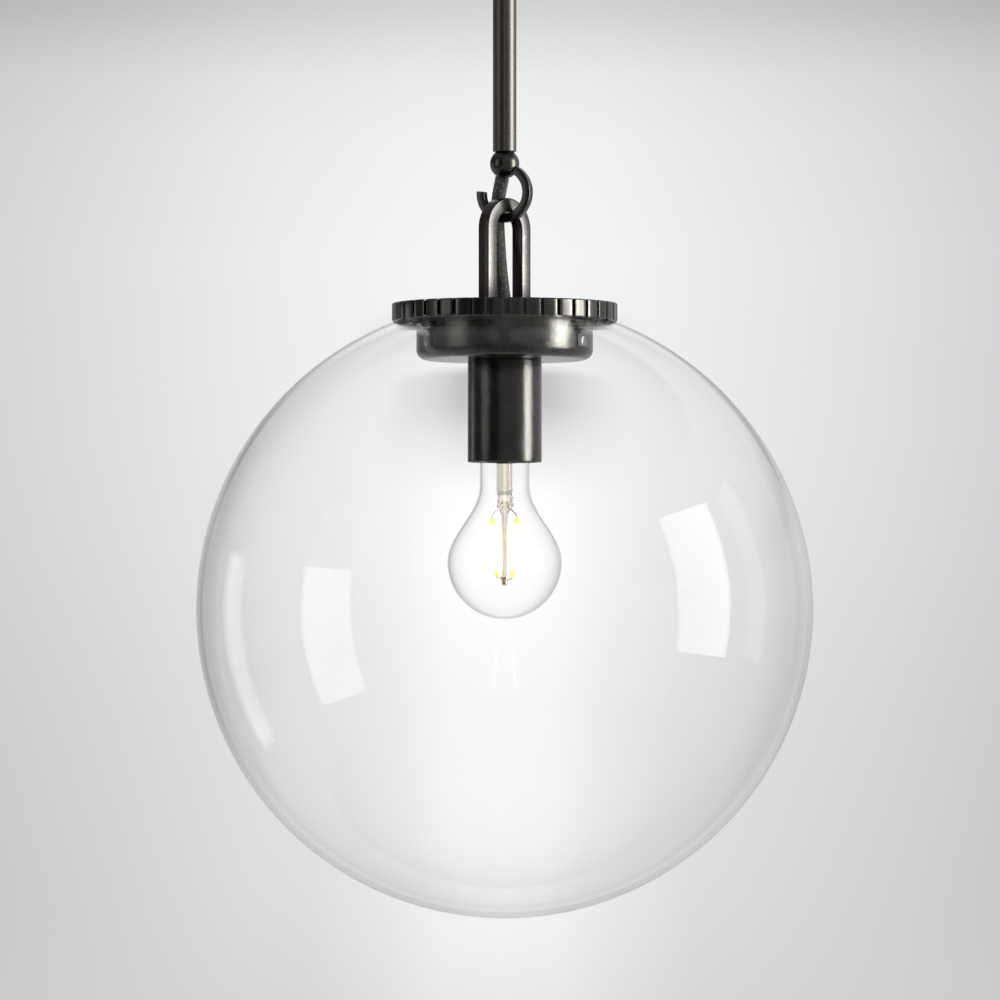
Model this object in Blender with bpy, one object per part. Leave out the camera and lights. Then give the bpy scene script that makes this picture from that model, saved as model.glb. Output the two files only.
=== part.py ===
"""Pendant light: canopy, swivelling stem, hook and loop, notched disc, glass globe and lamp.

Units are metres, +Z is up, and the origin is the centre of the mounting strap's top face,
where it meets the ceiling. The front of the lamp looks along -Y.
"""
import math

import bmesh
import bpy
from mathutils import Matrix, Vector

MM = 0.001
FULL_TURN = 2.0 * math.pi

# Clearances
GAP = 0.3 * MM                     # between pieces that touch
RUNNING_GAP = 0.3 * MM             # around a rod or cord in its hole
CUT_MARGIN = 1.0 * MM              # how far a cutter runs past what it cuts
CORNER_ALLOWANCE = 1.06            # for the bars' corners, where the hook and the loop cross

# Canopy
CANOPY_RADIUS = 63.5 * MM
CANOPY_HEIGHT = 23.0 * MM
CANOPY_WALL = 1.2 * MM
CANOPY_FILLET = 9.0 * MM
STRAP_LENGTH = 104.0 * MM
STRAP_WIDTH = 20.0 * MM
STRAP_THICKNESS = 2.0 * MM
BOX_SLOT_SPACING = 69.85 * MM
BOX_SLOT_LENGTH = 9.0 * MM
BOX_SLOT_WIDTH = 4.6 * MM
CANOPY_SCREW_SPACING = 90.0 * MM
CANOPY_SCREW_RADIUS = 2.0 * MM
CAP_NUT_RADIUS = 5.5 * MM
CAP_NUT_HEIGHT = 9.0 * MM
GROUND_SCREW_Y = 5.5 * MM
GROUND_SCREW_X = 22.0 * MM

# Swivel at the canopy
SWIVEL_Z = -25.0 * MM
SWIVEL_BALL_RADIUS = 12.0 * MM
SWIVEL_MOUTH_DEPTH = 8.5 * MM
SWIVEL_SEAT_WALL = 3.2 * MM
SWIVEL_FLANGE_RADIUS = 20.0 * MM
SWIVEL_TO_STEM = 13.0 * MM

# Stem
STEM_RADIUS = 6.8 * MM
STEM_ROOM = 1.3 * MM               # from the cord to the bore: a spigot's wall and its clearances
STEM_LENGTH = 152.15 * MM
SPIGOT_LENGTH = 10.0 * MM

# Ball and hook
BALL_RADIUS = 8.5 * MM
HOOK_RADIUS = 14.7 * MM            # to the bar's centreline
HOOK_BAR = 5.0 * MM
HOOK_BAR_ROUNDING = 0.7 * MM
HOOK_BELOW_BALL = 16.9 * MM        # ball centre to ring centre
HOOK_TURN = math.radians(-26.0)    # the ring's right side comes forward
HOOK_START = math.radians(68.0)
HOOK_END = math.radians(-185.0)

# Cord
CORD_RADIUS = 4.0 * MM
CORD_HOLE_RADIUS = CORD_RADIUS + RUNNING_GAP
CORD_END_INSIDE = 2.3 * MM         # how far inside the nipple its sheath ends

# Loop
LOOP_BAR = 8.0 * MM
LOOP_BAR_ROUNDING = 0.9 * MM
LOOP_RADIUS = 14.15 * MM           # to the bar's centreline
LOOP_TURN = math.radians(46.5)     # the left leg comes forward
LOOP_LEG = 42.8 * MM               # straight part of each leg
LOOP_STUD_RADIUS = 3.0 * MM
LOOP_NUT_FLATS = 10.0 * MM
LOOP_NUT_HEIGHT = 4.5 * MM
WASHER_RADIUS = 5.8 * MM
WASHER_THICKNESS = 1.0 * MM

# Notched disc
DISC_OVERHANG = 11.7 * MM          # past the glass's opening
DISC_PLATE = 3.2 * MM
DISC_RIM_WIDTH = 4.7 * MM
DISC_TO_GLASS = 0.8 * MM           # the rim's underside follows the glass at this distance
DISC_EDGE = 0.6 * MM
NOTCH_COUNT = 40
NOTCH_WIDTH = 2.1 * MM
NOTCH_DEPTH = 2.3 * MM
NOTCH_PHASE = math.radians(0.9)    # first notch, right of straight ahead

# Collar, nipple and socket cup
NIPPLE_WALL = 2.1 * MM
NIPPLE_ROOM = 0.5 * MM             # around the cord
COLLAR_TO_OPENING = 2.4 * MM       # around the collar, in the glass's opening
COLLAR_WALL = 1.6 * MM
COLLAR_FLOOR = 2.0 * MM
COLLAR_HEIGHT = 28.9 * MM
COLLAR_FILLET = 5.8 * MM
CUP_ROOM = 3.0 * MM                # around the socket
CUP_WALL = 1.4 * MM
CUP_TOP = 2.0 * MM
CUP_LENGTH = 59.0 * MM
LOCKNUT_FLATS = 17.0 * MM
LOCKNUT_HEIGHT = 4.0 * MM

# Socket
SOCKET_CAP_WALL = 1.5 * MM
SOCKET_CAP_HEIGHT = 12.0 * MM
SOCKET_WALL = 2.3 * MM
SOCKET_BODY_HEIGHT = 35.0 * MM
SOCKET_BODY_TOP = 5.5 * MM
SHELL_THREAD_ROOM = 0.5 * MM       # around the lamp's base
SHELL_WALL = 0.7 * MM
SHELL_HEIGHT = 24.0 * MM
CONTACT_RADIUS = 4.0 * MM
TERMINAL_SPREAD = 10.0 * MM
TERMINAL_HEAD_RADIUS = 3.0 * MM
TERMINAL_SHANK_RADIUS = 1.5 * MM
LEAD_RADIUS = 1.1 * MM

# Globe
GLOBE_RADIUS = 177.8 * MM
GLOBE_WALL = 3.0 * MM
GLOBE_OPENING = 53.5 * MM
GASKET_WIDTH = 5.0 * MM
GASKET_THICKNESS = 3.2 * MM

# Spring clips
CLIP_ANGLES = (90.0, 210.0, 330.0)
CLIP_WIDTH = 10.0 * MM
CLIP_THICKNESS = 0.5 * MM
CLIP_FOOT_HEIGHT = 6.0 * MM
CLIP_BULGE = 3.6 * MM              # how far the clip reaches out past the glass edge
RIVET_SHANK_RADIUS = 1.4 * MM
RIVET_HEAD_RADIUS = 2.6 * MM
RIVET_HEAD_HEIGHT = 0.6 * MM

# Lamp
BASE_RADIUS = 13.2 * MM
BASE_HEIGHT = 21.5 * MM
BASE_WALL = 0.6 * MM
BULB_NECK_STEP = 1.2 * MM          # the glass neck is wider than the base by this
BULB_RADIUS = 33.0 * MM
BULB_WALL = 1.0 * MM
BULB_LENGTH = 95.3 * MM            # below the base
BULB_NECK_RUN = 15.0 * MM          # straight neck below the base
STEM_TUBE_RADIUS = 4.6 * MM
STEM_TUBE_LENGTH = 24.0 * MM
GLASS_ROD_RADIUS = 1.7 * MM
PINCH_LENGTH = 12.0 * MM
FILAMENT_RADIUS = 0.9 * MM
FILAMENT_LENGTH = 33.5 * MM
FILAMENT_TOP_SPREAD = 10.0 * MM
FILAMENT_BOTTOM_SPREAD = 6.2 * MM
FILAMENT_COUNT = 4
FILAMENT_BELOW_BASE = 37.2 * MM


def sag(radius, half):
    """How far a bend of a given radius falls away over half a width."""
    return radius - math.sqrt(radius ** 2 - half ** 2)


def link_gap():
    """The gap under the loop's crown that keeps the two crossing bends apart."""
    crossing = math.sin(LOOP_TURN - HOOK_TURN)
    hook_rise = sag(HOOK_RADIUS - HOOK_BAR / 2, LOOP_BAR / 2 / crossing)
    crown_fall = sag(LOOP_RADIUS - LOOP_BAR / 2, HOOK_BAR / 2 / crossing)
    return CORNER_ALLOWANCE * (hook_rise + crown_fall)


# Heights that follow from the sizes above
STEM_TOP_Z = SWIVEL_Z - SWIVEL_TO_STEM
STEM_BOTTOM_Z = STEM_TOP_Z - STEM_LENGTH
STEM_BORE = CORD_RADIUS + STEM_ROOM
BALL_Z = STEM_BOTTOM_Z - GAP - math.sqrt(BALL_RADIUS ** 2 - STEM_BORE ** 2)
HOOK_Z = BALL_Z - HOOK_BELOW_BALL
HOOK_SEAT_Z = HOOK_Z - HOOK_RADIUS + HOOK_BAR / 2
LOOP_Z = HOOK_SEAT_Z + link_gap() + LOOP_BAR / 2 - LOOP_RADIUS
SWING_Z = HOOK_SEAT_Z - HOOK_BAR / 2
DISC_TOP_Z = LOOP_Z - LOOP_LEG
PLATE_UNDER_Z = DISC_TOP_Z - DISC_PLATE
COLLAR_TOP_Z = PLATE_UNDER_Z - GAP
COLLAR_BOTTOM_Z = COLLAR_TOP_Z - COLLAR_HEIGHT
GLOBE_EDGE_Z = COLLAR_TOP_Z - GASKET_THICKNESS - GAP
GLOBE_CENTRE_Z = GLOBE_EDGE_Z - math.sqrt(GLOBE_RADIUS ** 2 - GLOBE_OPENING ** 2)
CUP_TOP_Z = COLLAR_BOTTOM_Z - GAP
CUP_BOTTOM_Z = CUP_TOP_Z - CUP_LENGTH
LOCKNUT_TOP_Z = CUP_TOP_Z - CUP_TOP - GAP
SOCKET_CAP_TOP_Z = LOCKNUT_TOP_Z - LOCKNUT_HEIGHT - GAP
NIPPLE_BOTTOM_Z = SOCKET_CAP_TOP_Z - 4.0 * MM
SOCKET_BODY_TOP_Z = SOCKET_CAP_TOP_Z - SOCKET_CAP_HEIGHT - GAP
SHELL_TOP_Z = SOCKET_BODY_TOP_Z - SOCKET_BODY_TOP - GAP
CONTACT_FACE_Z = SHELL_TOP_Z - 3.0 * MM
BASE_TOP_Z = CONTACT_FACE_Z - GAP - 4.8 * MM
BASE_BOTTOM_Z = BASE_TOP_Z - BASE_HEIGHT
BULB_TIP_Z = BASE_BOTTOM_Z - BULB_LENGTH
BULB_CENTRE_Z = BULB_TIP_Z + BULB_RADIUS
BULB_MOUTH_Z = BASE_BOTTOM_Z + 4.0 * MM
BULB_NECK_Z = BASE_BOTTOM_Z - 3.5 * MM
FILAMENT_TOP_Z = BASE_BOTTOM_Z - FILAMENT_BELOW_BASE
HUB_TOP_Z = FILAMENT_TOP_Z - FILAMENT_LENGTH
RIVET_Z = COLLAR_BOTTOM_Z + COLLAR_FILLET + CLIP_FOOT_HEIGHT / 2 + 0.5 * MM

# Radii that follow from the sizes above
NIPPLE_BORE = CORD_RADIUS + NIPPLE_ROOM
NIPPLE_RADIUS = NIPPLE_BORE + NIPPLE_WALL
COLLAR_RADIUS = GLOBE_OPENING - COLLAR_TO_OPENING
DISC_RADIUS = GLOBE_OPENING + DISC_OVERHANG
SHELL_INNER_RADIUS = BASE_RADIUS + SHELL_THREAD_ROOM
SOCKET_RADIUS = SHELL_INNER_RADIUS + SHELL_WALL + GAP + SOCKET_WALL
CUP_RADIUS = SOCKET_RADIUS + CUP_ROOM + CUP_WALL
BULB_NECK_RADIUS = BASE_RADIUS + BULB_NECK_STEP
SEAT_RADIUS = SWIVEL_BALL_RADIUS + RUNNING_GAP
SEAT_OUTER = SEAT_RADIUS + SWIVEL_SEAT_WALL
SWIVEL_HOLE_RADIUS = SEAT_OUTER + GAP
NIPPLE_HOLE = NIPPLE_RADIUS + GAP
BULB_MOUTH_RADIUS = BASE_RADIUS - BASE_WALL - GAP

# The free cord's route: out of the ball, behind the hook and the crown, and down into the nipple.
# Sideways it is in shares of the reach that clears both bars, where the crown also rises as its bar
# grows. Its heights are in millimetres from the ball's centre.
CORD_REACH = CORD_RADIUS + LOOP_BAR + HOOK_BAR / 2 - 3.8 * MM
CORD_ROUTE = (
    (0.000, 0.000, 6.6), (-0.002, 0.004, 4.1), (-0.018, 0.043, 1.1), (-0.057, 0.138, -2.9),
    (-0.117, 0.285, -6.9), (-0.192, 0.467, -10.9), (-0.266, 0.648, -14.9), (-0.329, 0.800, -18.9),
    (-0.369, 0.899, -22.9), (-0.391, 0.951, -27.9), (-0.387, 0.942, -32.9), (-0.364, 0.850, -38.9),
    (-0.327, 0.692, -45.9), (-0.285, 0.505, -52.9), (-0.234, 0.318, -59.9), (-0.168, 0.159, -66.9),
    (-0.098, 0.056, -72.9), (-0.037, 0.011, -77.9), (-0.009, 0.000, -81.9), (0.000, 0.000, -86.9),
    (0.000, 0.000, -102.9),
)

FINISHES = {
    # name: (red, green, blue, metallic, roughness, alpha)
    "blackened_bronze": (0.040, 0.038, 0.033, 1.0, 0.38, 1.0),
    "plated_steel": (0.42, 0.42, 0.40, 1.0, 0.35, 1.0),
    "spring_steel": (0.30, 0.30, 0.29, 1.0, 0.30, 1.0),
    "brass": (0.62, 0.43, 0.18, 1.0, 0.35, 1.0),
    "braided_cord": (0.028, 0.023, 0.020, 0.0, 0.85, 1.0),
    "lead_black": (0.02, 0.02, 0.02, 0.0, 0.5, 1.0),
    "lead_white": (0.75, 0.75, 0.72, 0.0, 0.5, 1.0),
    "lead_green": (0.03, 0.25, 0.08, 0.0, 0.5, 1.0),
    "connector_plastic": (0.75, 0.28, 0.04, 0.0, 0.45, 1.0),
    "porcelain": (0.80, 0.79, 0.75, 0.0, 0.25, 1.0),
    "silicone": (0.60, 0.60, 0.58, 0.0, 0.6, 0.8),
    "clear_glass": (0.92, 0.95, 0.94, 0.0, 0.02, 0.25),
    "lamp_glass": (0.94, 0.95, 0.94, 0.0, 0.02, 0.25),
    "filament": (1.0, 0.72, 0.30, 0.0, 0.5, 1.0),
    "black_glass": (0.02, 0.02, 0.025, 0.0, 0.2, 1.0),
    "circuit_board": (0.05, 0.20, 0.08, 0.0, 0.5, 1.0),
}


# ---------------------------------------------------------------- scene helpers

def clear_scene():
    """Remove whatever the file held before."""
    for thing in list(bpy.data.objects):
        bpy.data.objects.remove(thing, do_unlink=True)


def finish_material(name):
    """The named finish as a Principled material, made once."""
    material = bpy.data.materials.get(name)
    if material is None:
        red, green, blue, metallic, roughness, alpha = FINISHES[name]
        material = bpy.data.materials.new(name)
        material.use_nodes = True
        shader = material.node_tree.nodes["Principled BSDF"]
        shader.inputs["Base Color"].default_value = (red, green, blue, 1.0)
        shader.inputs["Metallic"].default_value = metallic
        shader.inputs["Roughness"].default_value = roughness
        shader.inputs["Alpha"].default_value = alpha
    return material


def pivot(name, location, parent=None):
    """An empty on a joint's axis, which the moving pieces hang from."""
    empty = bpy.data.objects.new(name, None)
    bpy.context.collection.objects.link(empty)
    empty.empty_display_size = 0.02
    empty.parent = parent
    offset = Vector(location)
    if parent is not None:
        offset -= Vector(parent["place"])
    empty.location = offset
    empty["place"] = list(location)
    return empty


def hang_from(thing, parent):
    """Parent a piece to a pivot without moving it."""
    if parent is not None:
        thing.parent = parent
        thing.matrix_parent_inverse = Matrix.Translation(-Vector(parent["place"]))


def add_piece(name, bm, finish, parent=None, smooth=40.0):
    """Turn a bmesh into a named piece with its own finish."""
    bmesh.ops.remove_doubles(bm, verts=bm.verts, dist=1e-6)
    bmesh.ops.recalc_face_normals(bm, faces=bm.faces)
    if bm.calc_volume(signed=True) < 0.0:
        bmesh.ops.reverse_faces(bm, faces=bm.faces)
    mesh = bpy.data.meshes.new(name)
    bm.to_mesh(mesh)
    bm.free()
    mesh.shade_smooth()
    mesh.set_sharp_from_angle(angle=math.radians(smooth))
    piece = bpy.data.objects.new(name, mesh)
    bpy.context.collection.objects.link(piece)
    if finish is not None:
        mesh.materials.append(finish_material(finish))
    hang_from(piece, parent)
    return piece


def cut(piece, cutter_bm, label, operation="DIFFERENCE"):
    """Boolean a hidden helper shape out of a piece, or onto it."""
    helper = add_piece(piece.name + "_" + label, cutter_bm, None)
    helper.hide_render = True
    helper.display_type = "WIRE"
    modifier = piece.modifiers.new(label, "BOOLEAN")
    modifier.operation = operation
    modifier.solver = "EXACT"
    modifier.object = helper
    return piece


# ---------------------------------------------------------------- shape helpers

def arc(centre_r, centre_z, radius, start, end, steps):
    """Points on an arc in the turning plane, angles in degrees from +r towards +z."""
    points = []
    for step in range(steps + 1):
        angle = math.radians(start + (end - start) * step / steps)
        points.append((centre_r + radius * math.cos(angle), centre_z + radius * math.sin(angle)))
    return points


def turned(outline, segments=32, start_angle=0.0):
    """Spin a closed (radius, height) outline about the Z axis."""
    bm = bmesh.new()
    corners = [bm.verts.new((r * math.cos(start_angle), r * math.sin(start_angle), z)) for r, z in outline]
    for index, corner in enumerate(corners):
        following = corners[(index + 1) % len(corners)]
        on_axis = outline[index][0] == 0.0 and outline[(index + 1) % len(outline)][0] == 0.0
        if not on_axis:
            bm.edges.new((corner, following))
    bmesh.ops.spin(bm, geom=bm.verts[:] + bm.edges[:], cent=(0, 0, 0), axis=(0, 0, 1),
                   angle=FULL_TURN, steps=segments, use_duplicate=False)
    bmesh.ops.remove_doubles(bm, verts=bm.verts, dist=1e-6)
    loose = [edge for edge in bm.edges if not edge.link_faces]
    bmesh.ops.delete(bm, geom=loose, context="EDGES")
    return bm


def tube_outline(inner, outer, low, high):
    """The section of a plain ring."""
    return [(inner, low), (outer, low), (outer, high), (inner, high)]


def ring(inner, outer, low, high, segments=32):
    """A plain turned ring."""
    return turned(tube_outline(inner, outer, low, high), segments)


def rod(radius, low, high, segments=24, place=(0.0, 0.0)):
    """A plain upright rod."""
    bm = turned([(0.0, low), (radius, low), (radius, high), (0.0, high)], segments)
    bmesh.ops.translate(bm, verts=bm.verts, vec=(place[0], place[1], 0.0))
    return bm


def hex_nut(flats, bore, low, high, place=(0.0, 0.0), turn=0.0):
    """A hexagonal nut with a round bore and chamfered corners."""
    bm = bmesh.new()
    corner = flats / math.sqrt(3.0)
    chamfer = (high - low) * 0.12
    levels = ((low, 0.94), (low + chamfer, 1.0), (high - chamfer, 1.0), (high, 0.94))
    steps = 18
    outer = []
    for height, share in levels:
        row = []
        for step in range(steps):
            angle = FULL_TURN * step / steps + turn
            side = (angle - turn) % (math.pi / 3.0) - math.pi / 6.0
            radius = flats / 2.0 / math.cos(side)
            radius = min(radius, corner * share)
            row.append(bm.verts.new((radius * math.cos(angle), radius * math.sin(angle), height)))
        outer.append(row)
    inner = []
    for height in (high, low):
        row = []
        for step in range(steps):
            angle = FULL_TURN * step / steps + turn
            row.append(bm.verts.new((bore * math.cos(angle), bore * math.sin(angle), height)))
        inner.append(row)
    rows = outer + inner
    for index, row in enumerate(rows):
        above = rows[(index + 1) % len(rows)]
        for step in range(steps):
            ahead = (step + 1) % steps
            bm.faces.new((row[step], row[ahead], above[ahead], above[step]))
    bmesh.ops.translate(bm, verts=bm.verts, vec=(place[0], place[1], 0.0))
    return bm


def box(low, high):
    """An axis-aligned block between two corners."""
    bm = bmesh.new()
    bmesh.ops.create_cube(bm, size=1.0)
    size = [high[axis] - low[axis] for axis in range(3)]
    centre = [(high[axis] + low[axis]) / 2.0 for axis in range(3)]
    bmesh.ops.scale(bm, verts=bm.verts, vec=size)
    bmesh.ops.translate(bm, verts=bm.verts, vec=centre)
    return bm


def slot(length, width, low, high, place):
    """An upright cutter with round ends, lying along X."""
    bm = bmesh.new()
    reach = (length - width) / 2.0
    outline = []
    for centre, start in ((reach, -90.0), (-reach, 90.0)):
        outline += arc(centre, 0.0, width / 2.0, start, start + 180.0, 6)
    bottom = [bm.verts.new((x + place[0], y + place[1], low)) for x, y in outline]
    face = bm.faces.new(bottom)
    grown = bmesh.ops.extrude_face_region(bm, geom=[face])
    top = [item for item in grown["geom"] if isinstance(item, bmesh.types.BMVert)]
    bmesh.ops.translate(bm, verts=top, vec=(0.0, 0.0, high - low))
    return bm


def join(*parts):
    """Gather several bmeshes into one."""
    whole = bmesh.new()
    for part in parts:
        mesh = bpy.data.meshes.new("gathered")
        part.to_mesh(mesh)
        part.free()
        whole.from_mesh(mesh)
        bpy.data.meshes.remove(mesh)
    return whole


def rounded_square(side, rounding, steps=2):
    """The section of a square bar with rounded edges."""
    flat = side / 2.0 - rounding
    section = []
    for x_sign, y_sign, start in ((1, 1, 0.0), (-1, 1, 90.0), (-1, -1, 180.0), (1, -1, 270.0)):
        section += arc(x_sign * flat, y_sign * flat, rounding, start, start + 90.0, steps)
    return section


def circle_section(radius, sides):
    """The section of a round bar."""
    return arc(0.0, 0.0, radius, 0.0, 360.0 * (sides - 1) / sides, sides - 1)


def swept(path, across, section):
    """Sweep a section along a flat path; 'across' is the normal of the path's plane."""
    bm = bmesh.new()
    across = Vector(across).normalized()
    rows = []
    for index, point in enumerate(path):
        ahead = path[min(index + 1, len(path) - 1)]
        behind = path[max(index - 1, 0)]
        outward = across.cross((ahead - behind).normalized())
        rows.append([bm.verts.new(point + outward * x + across * y) for x, y in section])
    for row, following in zip(rows, rows[1:]):
        for index in range(len(section)):
            ahead = (index + 1) % len(section)
            bm.faces.new((row[index], row[ahead], following[ahead], following[index]))
    bm.faces.new(rows[0])
    bm.faces.new(list(reversed(rows[-1])))
    return bm


def smooth_route(route, spacing):
    """Evenly spaced points on a smooth curve through a route's own points."""
    knots = [Vector(point) for point in route]
    knots = [knots[0] * 2.0 - knots[1]] + knots + [knots[-1] * 2.0 - knots[-2]]
    fine = []
    for index in range(1, len(knots) - 2):
        before, start, end, after = knots[index - 1:index + 3]
        tangent_in = (end - before) * 0.5
        tangent_out = (after - start) * 0.5
        for step in range(12):
            t = step / 12.0
            fine.append(start * (2 * t ** 3 - 3 * t ** 2 + 1) + tangent_in * (t ** 3 - 2 * t ** 2 + t)
                        + end * (3 * t ** 2 - 2 * t ** 3) + tangent_out * (t ** 3 - t ** 2))
    fine.append(knots[-2])
    points = [fine[0]]
    for point in fine[1:-1]:
        if (point - points[-1]).length >= spacing:
            points.append(point)
    points.append(fine[-1])
    return points


def cord_knots():
    """The free cord's own points, from under the ball to its end inside the nipple."""
    knots = [Vector((x * CORD_REACH, y * CORD_REACH, BALL_Z + z * MM)) for x, y, z in CORD_ROUTE]
    return knots + [Vector((0.0, 0.0, NIPPLE_BOTTOM_Z + CORD_END_INSIDE))]


def tube_curve(name, points, radius, finish, parent, resolution=2):
    """A cord or lead: a curve with a round bevel and filled caps."""
    curve = bpy.data.curves.new(name, "CURVE")
    curve.dimensions = "3D"
    curve.bevel_depth = radius
    curve.bevel_resolution = resolution
    curve.use_fill_caps = True
    spline = curve.splines.new("POLY")
    spline.points.add(len(points) - 1)
    for item, point in zip(spline.points, points):
        item.co = (point[0], point[1], point[2], 1.0)
    curve.materials.append(finish_material(finish))
    piece = bpy.data.objects.new(name, curve)
    bpy.context.collection.objects.link(piece)
    hang_from(piece, parent)
    return piece


def round_cutter(points, radius, sides=16):
    """A round tube along any route, for cutting a passage."""
    bm = bmesh.new()
    side = Vector((1.0, 0.0, 0.0))
    rows = []
    for index, point in enumerate(points):
        along = (points[min(index + 1, len(points) - 1)] - points[max(index - 1, 0)]).normalized()
        first = (side - along * side.dot(along)).normalized()
        second = along.cross(first)
        rows.append([bm.verts.new(point + first * x + second * y)
                     for x, y in circle_section(radius, sides)])
    for row, following in zip(rows, rows[1:]):
        for index in range(sides):
            ahead = (index + 1) % sides
            bm.faces.new((row[index], row[ahead], following[ahead], following[index]))
    bm.faces.new(rows[0])
    bm.faces.new(list(reversed(rows[-1])))
    return bm


# ---------------------------------------------------------------- canopy

def make_canopy():
    """The dish against the ceiling, open upwards, with holes for the swivel and two screws."""
    floor = -CANOPY_HEIGHT
    inner = CANOPY_RADIUS - CANOPY_WALL
    hole = SWIVEL_HOLE_RADIUS
    outline = [(CANOPY_RADIUS, 0.0)]
    outline += arc(CANOPY_RADIUS - CANOPY_FILLET, floor + CANOPY_FILLET, CANOPY_FILLET, 0.0, -90.0, 4)
    outline += [(hole, floor), (hole, floor + CANOPY_WALL)]
    outline += arc(CANOPY_RADIUS - CANOPY_FILLET, floor + CANOPY_FILLET, CANOPY_FILLET - CANOPY_WALL,
                   -90.0, 0.0, 4)
    outline += [(inner, 0.0)]
    dish = add_piece("canopy_dish", turned(outline, 36), "blackened_bronze")
    for side in (-1, 1):
        hole_cutter = rod(CANOPY_SCREW_RADIUS + RUNNING_GAP, floor - CUT_MARGIN,
                          floor + CANOPY_WALL + CUT_MARGIN, 16, (side * CANOPY_SCREW_SPACING / 2, 0.0))
        cut(dish, hole_cutter, "screw_hole_" + ("left" if side < 0 else "right"))


def make_strap():
    """The steel strap that screws to the ceiling box and takes the canopy's two screws."""
    half = STRAP_LENGTH / 2
    strap = add_piece("mounting_strap",
                      box((-half, -STRAP_WIDTH / 2, -STRAP_THICKNESS), (half, STRAP_WIDTH / 2, 0.0)),
                      "plated_steel")
    below = -STRAP_THICKNESS - CUT_MARGIN
    for side, word in ((-1, "left"), (1, "right")):
        cut(strap, slot(BOX_SLOT_LENGTH, BOX_SLOT_WIDTH, below, CUT_MARGIN,
                        (side * BOX_SLOT_SPACING / 2, 0.0)), "box_slot_" + word)
        cut(strap, rod(CANOPY_SCREW_RADIUS + RUNNING_GAP, below, CUT_MARGIN, 16,
                       (side * CANOPY_SCREW_SPACING / 2, 0.0)), "screw_hole_" + word)
    cut(strap, rod(TERMINAL_SHANK_RADIUS + RUNNING_GAP, below, CUT_MARGIN, 16,
                   (GROUND_SCREW_X, GROUND_SCREW_Y)), "ground_hole")


def make_canopy_screws():
    """Two long screws from the strap down through the dish, each with a cap nut."""
    floor = -CANOPY_HEIGHT
    thread_end = floor - CAP_NUT_HEIGHT * 0.6
    for number, side in enumerate((-1, 1), start=1):
        place = (side * CANOPY_SCREW_SPACING / 2, 0.0)
        screw = turned([(0.0, thread_end), (CANOPY_SCREW_RADIUS, thread_end),
                        (CANOPY_SCREW_RADIUS, -STRAP_THICKNESS - GAP - 2.5 * MM),
                        (CANOPY_SCREW_RADIUS + 1.5 * MM, -STRAP_THICKNESS - GAP - 2.5 * MM),
                        (CANOPY_SCREW_RADIUS + 1.5 * MM, -STRAP_THICKNESS - GAP),
                        (CANOPY_SCREW_RADIUS, -STRAP_THICKNESS - GAP),
                        (CANOPY_SCREW_RADIUS, -0.2 * MM), (0.0, -0.2 * MM)], 16)
        bmesh.ops.translate(screw, verts=screw.verts, vec=(place[0], place[1], 0.0))
        add_piece(f"canopy_screw_{number}", screw, "plated_steel")
        top = floor - GAP
        bottom = top - CAP_NUT_HEIGHT
        bore = CANOPY_SCREW_RADIUS + RUNNING_GAP
        nut = turned([(0.0, bottom)] + arc(0.0, bottom + 3.0 * MM, 3.0 * MM, -80.0, -20.0, 4)
                     + [(3.0 * MM, bottom + 3.5 * MM), (CAP_NUT_RADIUS, bottom + 4.3 * MM),
                        (CAP_NUT_RADIUS, top), (bore, top), (bore, thread_end - GAP), (0.0, thread_end - GAP)],
                     20)
        bmesh.ops.translate(nut, verts=nut.verts, vec=(place[0], place[1], 0.0))
        add_piece(f"cap_nut_{number}", nut, "blackened_bronze")


def make_ground_screw():
    """The green screw on the strap that takes the ground lead."""
    under = -STRAP_THICKNESS - GAP
    outline = [(0.0, under - 2.0 * MM), (TERMINAL_HEAD_RADIUS, under - 2.0 * MM),
               (TERMINAL_HEAD_RADIUS, under), (TERMINAL_SHANK_RADIUS, under),
               (TERMINAL_SHANK_RADIUS, -0.3 * MM), (0.0, -0.3 * MM)]
    screw = turned(outline, 16)
    bmesh.ops.translate(screw, verts=screw.verts, vec=(GROUND_SCREW_X, GROUND_SCREW_Y, 0.0))
    add_piece("ground_screw", screw, "lead_green")


def make_swivel_seat():
    """The flanged ring in the dish's centre, with a round seat for the swivel ball."""
    mouth = math.degrees(math.asin(SWIVEL_MOUTH_DEPTH / SEAT_RADIUS))
    flange_low = -CANOPY_HEIGHT + CANOPY_WALL + GAP
    flange_high = flange_low + 2.0 * MM
    bottom = SWIVEL_Z - SWIVEL_MOUTH_DEPTH
    outline = [(SWIVEL_FLANGE_RADIUS, flange_high), (SWIVEL_FLANGE_RADIUS, flange_low),
               (SEAT_OUTER, flange_low)]
    outline += arc(SEAT_OUTER - 4.0 * MM, bottom + 4.0 * MM, 4.0 * MM, 0.0, -90.0, 3)
    outline += arc(0.0, SWIVEL_Z, SEAT_RADIUS, -mouth, 0.0, 4)
    outline += [(SEAT_RADIUS, flange_high)]
    add_piece("swivel_seat", turned(outline, 24), "blackened_bronze")


# ---------------------------------------------------------------- stem

def make_swivel_ball(parent):
    """The hang-straight ball with its hollow neck, which screws into the stem."""
    neck = STEM_BORE - RUNNING_GAP
    neck_angle = math.degrees(math.acos(neck / SWIVEL_BALL_RADIUS))
    top_angle = math.degrees(math.acos(CORD_HOLE_RADIUS / SWIVEL_BALL_RADIUS))
    outline = arc(0.0, SWIVEL_Z, SWIVEL_BALL_RADIUS, top_angle, -neck_angle, 8)
    neck_end = STEM_TOP_Z - SPIGOT_LENGTH
    outline += [(neck, neck_end), (CORD_HOLE_RADIUS, neck_end)]
    add_piece("swivel_ball", turned(outline, 24), "plated_steel", parent)


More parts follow.
